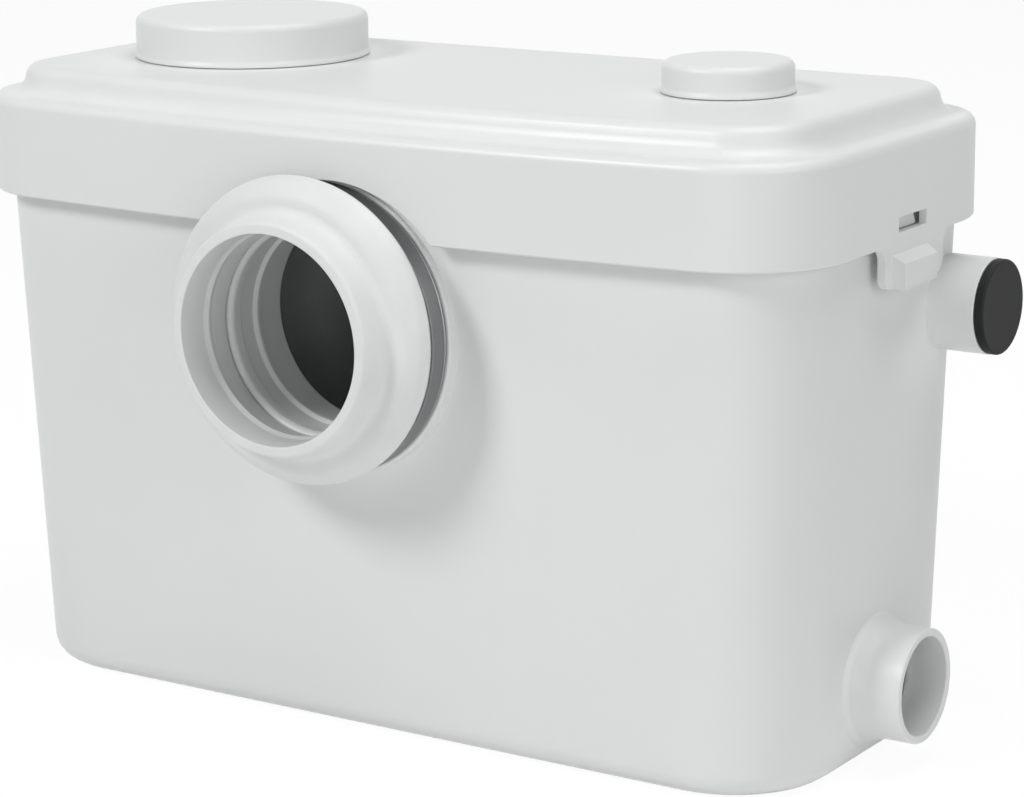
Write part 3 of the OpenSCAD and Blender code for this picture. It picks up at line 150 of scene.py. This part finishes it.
def drawn(name, outline):
    """A closed wire through the outline's points, left in hand and selected."""
    put_down()
    bpy.ops.mesh.primitive_plane_add(size=MM)
    piece = bpy.context.object
    piece.name = name
    take(piece)
    bpy.ops.mesh.merge(type="CENTER")
    bpy.ops.transform.translate(value=outline[0])
    for here, there in zip(outline, outline[1:] + outline[:1]):
        bpy.ops.mesh.extrude_region_move(TRANSFORM_OT_translate={"value": there - here})
    bpy.ops.mesh.select_all(action="SELECT")
    bpy.ops.mesh.remove_doubles(threshold=WELD)
    return piece


def turned(name, centre, along, corners):
    """A piece turned about an axis. A corner is (radius, distance along the axis, fillet) in millimetres."""
    across = TO_PIPES if along == UP else UP
    piece = drawn(name, [centre + (across * p.x + along * p.y) * MM for p in rounded(corners)])
    bpy.ops.mesh.spin(steps=TURN_STEPS, angle=2 * math.pi, center=centre, axis=along)
    bpy.ops.mesh.select_all(action="SELECT")
    bpy.ops.mesh.remove_doubles(threshold=WELD)
    bpy.ops.mesh.normals_make_consistent(inside=False)
    finish_faces(piece, TURNED_SMOOTH)
    return piece


def welded(name, node):
    """A copy of a solid's skin, its facets welded and the flat ones joined, left in hand."""
    piece = bpy.data.objects.new(name, nodes[node].data.copy())
    bpy.context.scene.collection.objects.link(piece)
    hold(piece)
    bpy.ops.mesh.customdata_custom_splitnormals_clear()
    take(piece)
    bpy.ops.mesh.remove_doubles(threshold=FACET_WELD)
    bpy.ops.mesh.dissolve_limited(angle_limit=FLAT_ANGLE)
    return piece


def break_edges(piece, edge_mm):
    """Takes the sharpness off a moulding's hard edges, then smooths it."""
    worked(piece, "broken_edges", "BEVEL", width=edge_mm * MM, segments=2,
           limit_method="ANGLE", angle_limit=MOULDED_SMOOTH)
    finish_faces(piece, MOULDED_SMOOTH)


def cut_away(piece, tool):
    """Cuts one piece out of another and throws the tool away."""
    worked(piece, "cut", "BOOLEAN", operation="DIFFERENCE", solver="EXACT", object=tool)
    bpy.data.objects.remove(tool)


# Finishes: what each material looks like close to

class Wire:
    """A socket in a finish. Sums on it add the Math nodes they need."""

    def __init__(self, socket):
        self.socket = socket

    def node(self, kind, settings, inputs, out=0):
        """A new node of one kind: its settings first, then what its sockets take."""
        tree = self.socket.id_data
        made = tree.nodes.new(kind)
        for name, value in settings.items():
            setattr(made, name, value)
        for name, value in inputs.items():
            if isinstance(value, Wire):
                tree.links.new(value.socket, made.inputs[name])
            else:
                made.inputs[name].default_value = value
        return Wire(made.outputs[out])

    def maths(self, operation, first, second):
        return self.node("ShaderNodeMath", {"operation": operation}, {0: first, 1: second})

    def __add__(self, other):
        return self.maths("ADD", self, other)

    def __sub__(self, other):
        return self.maths("SUBTRACT", self, other)

    def __rsub__(self, other):
        return self.maths("SUBTRACT", other, self)

    def __mul__(self, other):
        return self.maths("MULTIPLY", self, other)

    __radd__ = __add__
    __rmul__ = __mul__

    def noise(self, grain_mm, detail):
        """Cloudy values about 0.5 with grains of one size, at this place."""
        return self.node("ShaderNodeTexNoise", {},
                         {"Vector": self, "Scale": 1 / (grain_mm * MM), "Detail": detail})

    def swing(self, width):
        """This value, which lies about 0.5, as a swing about zero of that width."""
        return (self - 0.5) * width

    def stretched(self, x, y, z):
        """This place with its axes scaled, for grain that runs one way."""
        return self.node("ShaderNodeVectorMath", {"operation": "MULTIPLY"}, {0: self, 1: (x, y, z)})

    def between(self, low, high):
        """This value as a mask: 0 below low, 1 above high."""
        return self.node("ShaderNodeMapRange", {"interpolation_type": "SMOOTHSTEP"},
                         {"Value": self, "From Min": low, "From Max": high})

    def tint(self, first, second):
        """A colour from the first to the second as this value goes from 0 to 1."""
        return self.node("ShaderNodeMix", {"data_type": "RGBA"}, {0: self, 6: first, 7: second}, out=2)

    def bumps(self, depth_mm, strength):
        """A surface that rises and falls with this value."""
        return self.node("ShaderNodeBump", {},
                         {"Height": self, "Distance": depth_mm * MM, "Strength": strength})


def shade(red, green, blue, k=1.0):
    """A colour, or a darker or lighter one of the same hue, as a socket takes it."""
    return (red * k, green * k, blue * k, 1.0)


def finish(name, surface):
    """A material from a function of place that says what each socket of the shader takes."""
    material = bpy.data.materials.new(name)
    material.use_nodes = True
    tree = material.node_tree
    shader = tree.nodes["Principled BSDF"]
    place = Wire(tree.nodes.new("ShaderNodeTexCoord").outputs["Object"])
    for socket, value in surface(place).items():
        if isinstance(value, Wire):
            tree.links.new(value.socket, shader.inputs[socket])
        else:
            shader.inputs[socket].default_value = value
    return material


def plastic(colour, gloss, grain_mm=0.5, depth_mm=0.006, gleam=0.45):
    """Moulded plastic: faint flow clouds in the colour, a fine spark texture and a slightly uneven gloss."""
    def surface(place):
        flow = place.noise(grain_mm=60, detail=3)
        spark = place.noise(grain_mm, detail=1)
        wave = place.noise(grain_mm=25, detail=1)
        return {
            "Base Color": flow.tint(shade(*colour, k=0.975), shade(*colour, k=1.015)),
            "Roughness": gloss + flow.swing(0.12) + spark.swing(0.08),
            "Normal": (spark + wave * 2).bumps(depth_mm, strength=0.5),
            "Specular IOR Level": gleam,
        }
    return surface


def rubber(colour, gloss):
    """Moulded rubber: mottled, dull, with a fine pitted skin."""
    def surface(place):
        mottle = place.noise(grain_mm=18, detail=4)
        pits = place.noise(grain_mm=0.7, detail=2)
        return {
            "Base Color": mottle.tint(shade(*colour, k=0.94), shade(*colour, k=1.05)),
            "Roughness": gloss + mottle.swing(0.15) + pits.swing(0.1),
            "Normal": pits.bumps(depth_mm=0.02, strength=0.35),
            "Specular IOR Level": 0.35,
        }
    return surface


def metal(colour, gloss, run, grain_mm=0.8):
    """Bare metal with a grain that runs one way and small stains."""
    def surface(place):
        grain = place.stretched(*run).noise(grain_mm, detail=3)
        stain = place.noise(grain_mm=14, detail=3)
        return {
            "Base Color": (grain * 0.6 + stain * 0.4).tint(shade(*colour, k=0.82), shade(*colour, k=1.12)),
            "Metallic": 1.0,
            "Roughness": gloss + grain.swing(0.25) + stain.swing(0.15),
            "Normal": grain.bumps(depth_mm=0.004, strength=0.6),
        }
    return surface


def cast_metal(place):
    """Die-cast aluminium under a thin grey lacquer: dull, grainy, with a cloudy skin."""
    skin = place.noise(grain_mm=1.2, detail=4)
    cloud = place.noise(grain_mm=22, detail=3)
    return {
        "Base Color": cloud.tint(shade(0.5, 0.51, 0.52), shade(0.68, 0.69, 0.7)),
        "Metallic": 0.1,
        "Roughness": 0.6 + skin.swing(0.3),
        "Normal": skin.bumps(depth_mm=0.06, strength=0.6),
    }


def stacked_sheets(place):
    """A core of thin steel sheets: fine lines across its height, with rust bloom."""
    sheets = place.node("ShaderNodeTexWave", {"bands_direction": "Z"}, {"Vector": place, "Scale": 320.0})
    bloom = place.noise(grain_mm=9, detail=4).between(0.5, 0.75)
    return {
        "Base Color": bloom.tint(shade(0.27, 0.27, 0.28), shade(0.2, 0.15, 0.12)),
        "Metallic": 0.85 - bloom * 0.4,
        "Roughness": 0.42 + bloom * 0.2 + sheets * 0.1,
        "Normal": sheets.bumps(depth_mm=0.12, strength=0.7),
    }


def wound_wire(place):
    """Enamelled copper wire in turns, darker in the dips between them, with cloudy varnish."""
    turns = place.node("ShaderNodeTexWave", {"bands_direction": "DIAGONAL"},
                       {"Vector": place, "Scale": 260.0, "Distortion": 3.0, "Detail": 1.0})
    varnish = place.noise(grain_mm=6, detail=3)
    copper = (turns * 0.7 + varnish * 0.3).tint(shade(0.25, 0.09, 0.035), shade(0.66, 0.31, 0.14))
    return {
        "Base Color": copper,
        "Metallic": 0.75,
        "Roughness": 0.3 + varnish * 0.2,
        "Normal": turns.bumps(depth_mm=0.35, strength=0.8),
    }


def charcoal_grains(place):
    """Pressed charcoal grains."""
    grains = place.node("ShaderNodeTexVoronoi", {"feature": "F1"}, {"Vector": place, "Scale": 700.0})
    return {
        "Base Color": grains.tint(shade(0.035, 0.035, 0.036), shade(0.09, 0.088, 0.085)),
        "Roughness": 0.75 + grains.swing(0.2),
        "Normal": grains.bumps(depth_mm=0.5, strength=0.9),
    }


finishes = {
    "white_shell": finish("satin_white_plastic", plastic((0.81, 0.825, 0.82), gloss=0.36)),
    "white_rubber": finish("soft_white_rubber", rubber((0.80, 0.812, 0.808), gloss=0.5)),
    "black_plug": finish("black_plug_plastic", plastic(
        (0.0095, 0.01, 0.011), gloss=0.6, grain_mm=0.6, depth_mm=0.012, gleam=0.27)),
    "black_rubber": finish("black_rubber", rubber((0.03, 0.03, 0.032), gloss=0.62)),
    # The band's colour is a steel grey darkened with painted shade for the groove it sits in behind the
    # sleeve.
    "band_steel": finish("rolled_band_steel", metal(
        (0.3, 0.305, 0.31), gloss=0.42, run=(0.06, 1, 0.06), grain_mm=0.5)),
    "grey_plastic": finish("grey_plastic", plastic((0.5, 0.51, 0.52), gloss=0.45)),
    "pump_plastic": finish("glass_filled_plastic", plastic(
        (0.1, 0.103, 0.106), gloss=0.55, grain_mm=0.9, depth_mm=0.03)),
    "cast_aluminium": finish("cast_aluminium", cast_metal),
    "bright_steel": finish("bright_steel", metal((0.62, 0.62, 0.63), gloss=0.26, run=(1, 1, 0.1))),
    "core_steel": finish("stacked_core_sheets", stacked_sheets),
    "copper_winding": finish("enamelled_copper", wound_wire),
    "charcoal": finish("charcoal_grains", charcoal_grains),
    "control_plastic": finish("black_control_plastic", plastic((0.05, 0.05, 0.054), gloss=0.42)),
    "ivory_plastic": finish("ivory_plastic", plastic((0.72, 0.7, 0.63), gloss=0.4)),
}
for node, carried in nodes.items():
    for held in carried.material_slots:
        held.material = finishes[slot_of[node]]


# Where the pieces sit, from the solids. Sizes named in capitals are in millimetres

MOUTH_OUT = 41
sleeve_low, sleeve_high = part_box("inlet_sleeve")
sleeve_mid = middle(sleeve_low, sleeve_high)
inlet = Vector((sleeve_mid.x, sleeve_low.y + MOUTH_OUT * MM, sleeve_mid.z))

LID_RISE, SKIRT_DEPTH, BLOCK_OUT = 10.5, 38, 5
lid_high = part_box("lid")[1]
ledge_z = lid_high.z - LID_RISE * MM
skirt_z = ledge_z - SKIRT_DEPTH * MM
end_x = lid_high.x - BLOCK_OUT * MM


# Lid and its two caps

SLACK, ROOM = 0.1, 0.5
FACE_OUT = 4
FOOT_FRONT, FOOT_BACK, FOOT_LOW, FOOT_HIGH = -14, 22, 183, 197.5
TONGUE_WALL, TONGUE_EDGE, TONGUE_TOP = 4, 181.9, 188
TONGUE_FRONT = (-27, -15.5)
WINDOW_DEPTH, WINDOW_Y, WINDOW_HALF, WINDOW_LOW, WINDOW_HIGH = 8, 4, 11, 202.9, 208.6
CLIP_DROP = 2.8


def shape_clip(piece, side):
    """One end's clip: finger block lower and straighter, tongue narrower at the front, window lower."""
    def nudge(wanted, y=0.0, z=0.0):
        """Moves the corners that a test wants. It gets their place out from the end, along it and up."""
        pick(piece, "verts", lambda v: wanted((v.co.x * side - end_x) / MM, v.co.y / MM, v.co.z / MM))
        bpy.ops.transform.translate(value=(0, y * MM, z * MM))

    def on_foot(x, z):
        return abs(x) < SLACK and FOOT_LOW - ROOM < z < FOOT_HIGH + ROOM

    def across_foot(x, y, z, height):
        return on_foot(x, z) and FOOT_FRONT < y < FOOT_BACK and abs(z - height) < 2 * SLACK

    def on_tongue(x):
        return -TONGUE_WALL < x < SLACK

    def tongue_foot(y, z):
        beside_block = y < FOOT_FRONT or y > FOOT_BACK
        return z < TONGUE_TOP and (beside_block or abs(z - TONGUE_EDGE) < ROOM)

    nudge(lambda x, y, z: x > FACE_OUT, y=-2.7, z=-2.2)
    nudge(lambda x, y, z: on_foot(x, z) and abs(y - FOOT_FRONT) < SLACK, y=2.2)
    nudge(lambda x, y, z: on_foot(x, z) and abs(y - FOOT_BACK) < SLACK, y=-5.5)
    nudge(lambda x, y, z: across_foot(x, y, z, FOOT_HIGH), z=-4.7)
    nudge(lambda x, y, z: across_foot(x, y, z, FOOT_LOW), z=-2.2)
    nudge(lambda x, y, z: on_tongue(x) and tongue_foot(y, z), z=-1.4)
    nudge(lambda x, y, z: on_tongue(x) and z < skirt_z / MM + SLACK
          and TONGUE_FRONT[0] < y < TONGUE_FRONT[1], y=3.6)
    nudge(lambda x, y, z: x > -WINDOW_DEPTH and abs(y - WINDOW_Y) < WINDOW_HALF + SLACK
          and WINDOW_LOW - SLACK < z < WINDOW_HIGH + SLACK, z=-CLIP_DROP)


ARCH_CROWN, ARCH_SPREAD = 56, 0.134
ARCH_FROM, ARCH_TO, ARCH_TURN = 28, 152, 4
BAR_FOOT, BAR_BACK, BAR_LENGTH = 10, 30, 46


def arch_bar():
    """The bar that cuts the arch: low over the sleeve's middle, its radius growing to both sides."""
    outline = []
    for degrees in range(ARCH_FROM, ARCH_TO + 1, ARCH_TURN):
        radius = ARCH_CROWN + ARCH_SPREAD * abs(degrees - 90)
        angle = math.radians(degrees)
        outline.append((radius * math.cos(angle), radius * math.sin(angle)))
    outline += [(outline[-1][0], BAR_FOOT), (outline[0][0], BAR_FOOT)]
    back = inlet - TO_PAN * BAR_BACK * MM
    bar = drawn("arch_bar", [back + Vector((x, 0, z)) * MM for x, z in outline])
    bpy.ops.mesh.edge_face_add()
    bpy.ops.mesh.extrude_region_move(TRANSFORM_OT_translate={"value": TO_PAN * BAR_LENGTH * MM})
    bpy.ops.mesh.select_all(action="SELECT")
    bpy.ops.mesh.normals_make_consistent(inside=False)
    put_down()
    return bar


HOLLOW, HOLLOW_STEPS, HOLLOW_ANGLE = 4, 6, -0.2
SOLID_ARCH_R, ARCH_SLACK, ARCH_FLATTEN = 58, 0.3, 0.6
LID_EDGE = 0.6


def lid_shell():
    """The lid: a soft hollow at the foot of its raised top, shaped clips, a flattened arch at the inlet."""
    piece = welded("lid_shell", "lid")
    pick(piece, "edges", lambda e: all(abs(v.co.z - ledge_z) < NEAR for v in e.verts)
         and e.calc_face_angle_signed(0) < HOLLOW_ANGLE)
    bpy.ops.mesh.bevel(offset=HOLLOW * MM, segments=HOLLOW_STEPS, affect="EDGES")
    for side in (1, -1):
        shape_clip(piece, side)

    def on_arch(v):
        out = Vector((v.co.x - inlet.x, v.co.z - inlet.z)).length
        return (v.co.y < inlet.y and v.co.z > skirt_z - NEAR
                and abs(out - SOLID_ARCH_R * MM) < ARCH_SLACK * MM)

    pick(piece, "verts", on_arch)
    bpy.ops.transform.resize(value=(1, 1, ARCH_FLATTEN), center_override=(inlet.x, inlet.y, skirt_z))
    cut_away(piece, arch_bar())
    break_edges(piece, LID_EDGE)
    return piece


CAP_WALL, CAP_STEP, GROOVE_DEPTH = 2.5, 0.6, 2.6


def cap(name, rise, plug_r, groove=()):
    """A round cap: a puck with a slight foot, and a plug below that fills the lid's hole."""
    low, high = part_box(name)
    mid = middle(low, high)
    top = Vector((mid.x, mid.y, high.z - rise * MM))
    plug_low = (low.z - top.z) / MM
    foot_r = (high.x - low.x) / 2 / MM
    side_r = foot_r - CAP_STEP
    hollow_r = plug_r - CAP_WALL - (GROOVE_DEPTH if groove else 0)
    ceiling = rise - CAP_WALL
    return turned(name, top, UP, [
        (0, rise - 0.05, 0), (side_r - 8, rise - 0.03, 0), (side_r - 3.2, rise, 0), (side_r, rise, 3),
        (side_r, 2.6, 2), (foot_r, 1.1, 0.7), (foot_r, 0.3, 0.25), (plug_r, 0.3, 0), *groove,
        (plug_r, plug_low, 0.8), (hollow_r, plug_low, 0.5), (hollow_r, ceiling, 2), (0, ceiling, 0)])


MOTOR_CAP_RISE, MOTOR_PLUG_R = 17, 39.7
VENT_CAP_RISE, VENT_PLUG_R = 12, 17.7
GROOVE_TOP, GROOVE_FOOT = -0.05, -2.95
groove_r = MOTOR_PLUG_R - GROOVE_DEPTH
motor_groove = [(groove_r, GROOVE_TOP, 0), (groove_r, GROOVE_FOOT, 0), (MOTOR_PLUG_R, GROOVE_FOOT, 0.2)]

place_piece(lid_shell(), "lid", "white_shell", "lid")
place_piece(cap("motor_cap", MOTOR_CAP_RISE, MOTOR_PLUG_R, motor_groove),
            "motor_cap", "white_shell", "motor_cap")
place_piece(cap("vent_cap", VENT_CAP_RISE, VENT_PLUG_R), "vent_cap", "white_shell", "vent_cap")


# Tank with its neck and pipes

CATCH_OUT, CATCH_SIDE, CATCH_LOW, CATCH_HIGH = 181.8, 20, 200, 215
TANK_EDGE = 0.5


def tank_shell():
    """The tank, its two catches lowered to where the lid's clip windows are."""
    piece = welded("tank_shell", "tank")
    pick(piece, "verts", lambda v: abs(v.co.x) > CATCH_OUT * MM and abs(v.co.y) < CATCH_SIDE * MM
         and CATCH_LOW * MM < v.co.z < CATCH_HIGH * MM)
    bpy.ops.transform.translate(value=(0, 0, -CLIP_DROP * MM))
    break_edges(piece, TANK_EDGE)
    return piece


place_piece(tank_shell(), "base", "white_shell", "tank")

NECK_BORE, NECK_R, NECK_SEAT_R, NECK_FLANGE_R = 40, 43, 50, 56
neck_back = (inlet.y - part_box("pan_neck")[1].y) / MM
pan_neck = turned("pan_neck", inlet, TO_PAN, [
    (NECK_BORE, neck_back, 0.4), (NECK_R, neck_back, 0.4), (NECK_R, -4.5, 0), (NECK_FLANGE_R, -4.5, 0),
    (NECK_FLANGE_R, 4, 1), (NECK_SEAT_R, 4, 0.8), (NECK_SEAT_R, 11, 1), (38.2, 11, 2.6), (38.8, 4, 1),
    (39.6, 3, 0.6), (39.6, -4, 0.6), (38.3, -5.4, 0.7), (38.3, -7, 0.7), (NECK_BORE, -8.6, 0.6)])
place_piece(pan_neck, "base", "white_shell", "pan_neck")

SLEEVE_SEAT_R, COLLAR_R, MOUTH_R = 50.15, 53.9, 39
SLEEVE_START, SLEEVE_STOP, SLEEVE_ROOT = 4.3, 12.4, 15
SLEEVE_LEAN = Vector((1.0, 0, 1.9)) * MM
sleeve = turned("pan_sleeve", inlet, TO_PAN, [
    (SLEEVE_SEAT_R, SLEEVE_START, 0.4), (COLLAR_R, SLEEVE_START, 0.8), (COLLAR_R, 13.6, 0.4), (55, 16.5, 1),
    (57.7, 20.6, 2.6), (56.6, 24.2, 6), (51, 29.2, 7), (45.3, 29.4, 3.4), (43.2, 40.6, 1.8),
    (MOUTH_R, MOUTH_OUT, 0.5), (39.1, 27.5, 3), (38.2, 25.2, 1.2), (39.2, 22.4, 1.5),
    (39.4, SLEEVE_STOP, 0.6), (SLEEVE_SEAT_R, SLEEVE_STOP, 0.4)])
take(sleeve)
pick(sleeve, "verts", lambda v: (v.co - inlet).dot(TO_PAN) > SLEEVE_ROOT * MM)
bpy.ops.transform.translate(value=SLEEVE_LEAN)
finish_faces(sleeve, TURNED_SMOOTH)
place_piece(sleeve, "base", "white_rubber", "inlet_sleeve")

SIDE_LEN, SIDE_R, SIDE_BORE, SIDE_TAIL_R = 21, 21.5, 18.5, 20.4
side_low, side_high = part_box("side_spigot")
side_root = Vector((side_high.x - SIDE_LEN * MM, *mount_at["side_inlet"].yz))
side_back = (side_low.x - side_root.x) / MM
side_spigot = turned("side_spigot", side_root, TO_PIPES, [
    (SIDE_TAIL_R, side_back, 0.3), (SIDE_TAIL_R, -3, 0), (27.5, -3, 0), (26.4, -0.6, 0), (23.4, 1.2, 2.5),
    (SIDE_R, 8.5, 9), (SIDE_R, SIDE_LEN, 0.8), (SIDE_BORE, SIDE_LEN, 0.8), (SIDE_BORE, side_back, 0.3)])
place_piece(side_spigot, "base", "white_shell", "side_spigot")

OUTLET_LEN, OUTLET_R, OUTLET_BORE, OUTLET_ROOT = 19, 18, 15, -8
PIPE_R, PIPE_BORE = 14, 11.5
outlet_low, outlet_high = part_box("outlet_spigot")
outlet_root = Vector((outlet_high.x - OUTLET_LEN * MM, *mount_at["outlet"].yz))
outlet_back = (outlet_low.x - outlet_root.x) / MM
outlet_spigot = turned("outlet_spigot", outlet_root, TO_PIPES, [
    (PIPE_BORE, outlet_back, 0.3), (PIPE_R, outlet_back, 0.3), (PIPE_R, OUTLET_ROOT, 0),
    (OUTLET_R, OUTLET_ROOT, 0), (OUTLET_R, OUTLET_LEN, 0.5), (OUTLET_BORE, OUTLET_LEN, 0.5),
    (OUTLET_BORE, 0, 0.3), (PIPE_BORE, 0, 0.3)])
place_piece(outlet_spigot, "base", "white_shell", "outlet_spigot")

PLUG_HEAD, PLUG_R, PLUG_FLOOR, PLUG_END = 3.5, 17.8, 0.7, -14
STEM_R, STEM_BORE, BEAD_R, BEADS, BEAD_HALF = 14.7, 12.7, 14.95, (-3, -8), 0.6
plug_low, plug_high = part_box("outlet_plug")
plug_mid = middle(plug_low, plug_high)
plug_foot = Vector((plug_high.x - PLUG_HEAD * MM, plug_mid.y, plug_mid.z))
plug_beads = [corner for bead in BEADS for corner in (
    (STEM_R, bead, 0.1), (BEAD_R, bead - BEAD_HALF, 0.1), (STEM_R, bead - 2 * BEAD_HALF, 0.1))]
outlet_plug = turned("outlet_plug", plug_foot, TO_PIPES, [
    (0, 3.3, 0), (12, 3.38, 0), (16.4, PLUG_HEAD, 0), (PLUG_R, PLUG_HEAD, 0.9), (PLUG_R, 0, 0.3),
    (STEM_R, 0, 0.2), *plug_beads, (14.4, PLUG_END, 0.8), (STEM_BORE, PLUG_END, 0.4),
    (STEM_BORE, PLUG_FLOOR, 1), (0, PLUG_FLOOR, 0)])
place_piece(outlet_plug, "outlet_plug", "black_plug", "outlet_plug")

BAND_IN, BAND_OUT, BAND_FLAT_R = 54.05, 54.9, 54.6
BAND_START, BAND_STOP, BAND_LIP, BAND_SLOPE = 4.6, 13.2, 0.6, 0.9
band_clip = turned("band_clip", inlet, TO_PAN, [
    (BAND_IN, BAND_START, 0), (BAND_OUT, BAND_START, 0.2), (BAND_OUT, BAND_START + BAND_LIP, 0.15),
    (BAND_FLAT_R, BAND_START + BAND_SLOPE, 0.15), (BAND_FLAT_R, BAND_STOP - BAND_SLOPE, 0.15),
    (BAND_OUT, BAND_STOP - BAND_LIP, 0.15), (BAND_OUT, BAND_STOP, 0.2), (BAND_IN, BAND_STOP, 0)])
place_piece(band_clip, "base", "band_steel", "band_clip")


# Studio: floor, light and the photograph's view. Sizes here are in metres

FLOOR_SIZE, FLOOR_DROP = 14, 0.0003
FLOOR_TONE, FLOOR_WHITE, FLOOR_GLOW = 0.9, 0.9, 1.04
SKY_LEVEL = 0.12
TANK_MIDDLE, TANK_LOWER = (0, 0, 0.12), (0, 0, 0.1)


def seen_white(tree):
    """1 for rays that look at the backdrop, straight or mirrored, and 0 for the light on the object."""
    path = tree.nodes.new("ShaderNodeLightPath")
    straight, mirrored, through = [
        Wire(path.outputs[name]) for name in ("Is Camera Ray", "Is Glossy Ray", "Is Transmission Ray")]
    looked = straight + mirrored + through
    return looked.maths("MINIMUM", looked, 1.0)


def floor_paint():
    """A pale floor that reads white and keeps a soft shadow under the tank."""
    material = bpy.data.materials.new("pale_floor")
    material.use_nodes = True
    tree = material.node_tree
    tree.nodes.remove(tree.nodes["Principled BSDF"])
    seen = seen_white(tree)
    matt = seen.node("ShaderNodeBsdfDiffuse", {}, {"Color": shade(FLOOR_TONE, FLOOR_TONE, FLOOR_TONE)})
    white = seen.node("ShaderNodeEmission", {}, {"Strength": FLOOR_GLOW})
    mixed = seen.node("ShaderNodeMixShader", {}, {0: seen * FLOOR_WHITE, 1: matt, 2: white})
    tree.links.new(mixed.socket, tree.nodes["Material Output"].inputs["Surface"])
    return material


def softbox(name, place, aim, size, power):
    """A large square lamp that points at a spot."""
    lamp = bpy.data.lights.new(name, "AREA")
    lamp.size = size
    lamp.energy = power
    holder = bpy.data.objects.new(name, lamp)
    bpy.context.scene.collection.objects.link(holder)
    holder.location = place
    holder.rotation_euler = (Vector(aim) - Vector(place)).to_track_quat("-Z", "Y").to_euler()


put_down()
bpy.ops.mesh.primitive_plane_add(size=FLOOR_SIZE, location=(0, 0, -FLOOR_DROP))
floor = bpy.context.object
floor.name = "floor"
floor.data.materials.append(floor_paint())

world = bpy.data.worlds.new("studio")
bpy.context.scene.world = world
world.use_nodes = True
sky = world.node_tree
backdrop = sky.nodes["Background"]
sky_strength = SKY_LEVEL + seen_white(sky) * (1 - SKY_LEVEL)
sky.links.new(sky_strength.socket, backdrop.inputs["Strength"])
backdrop.inputs["Color"].default_value = shade(1, 1, 1)

softbox("key_light", place=(-1.1, -2.25, 2.1), aim=TANK_MIDDLE, size=0.8, power=39.5)
softbox("top_light", place=(0.5, 0.1, 2.1), aim=TANK_MIDDLE, size=1.3, power=18.5)
softbox("right_light", place=(1.9, -0.7, 0.7), aim=TANK_MIDDLE, size=1.0, power=8)
softbox("low_light", place=(0.7, -2.1, 0.3), aim=TANK_LOWER, size=0.9, power=5)

AZIMUTH, ELEVATION, ROLL = math.radians(33.322), math.radians(13.408), math.radians(-0.609)
DISTANCE, TARGET = 1.284519, Vector((0.018392, 0, 0.117717))
FOCAL_PX, IMAGE_W = 3295.35, 1024
SENSOR_MM, SIGHT_END = 36, 50
level_reach = math.cos(ELEVATION)
back = Vector((math.sin(AZIMUTH) * level_reach, -math.cos(AZIMUTH) * level_reach, math.sin(ELEVATION)))
right = Vector((math.cos(AZIMUTH), math.sin(AZIMUTH), 0))
up = back.cross(right)
heading = Matrix((right, up, back)).transposed() @ Matrix.Rotation(ROLL, 3, "Z")
camera_data = bpy.data.cameras.new("photo_view")
camera_data.sensor_width = SENSOR_MM
camera_data.sensor_fit = "HORIZONTAL"
camera_data.lens = FOCAL_PX * SENSOR_MM / IMAGE_W
camera_data.clip_end = SIGHT_END
camera = bpy.data.objects.new("photo_view", camera_data)
bpy.context.scene.collection.objects.link(camera)
camera.matrix_world = Matrix.Translation(TARGET + back * DISTANCE) @ heading.to_4x4()
bpy.context.scene.camera = camera
bpy.context.scene.view_settings.view_transform = "Standard"
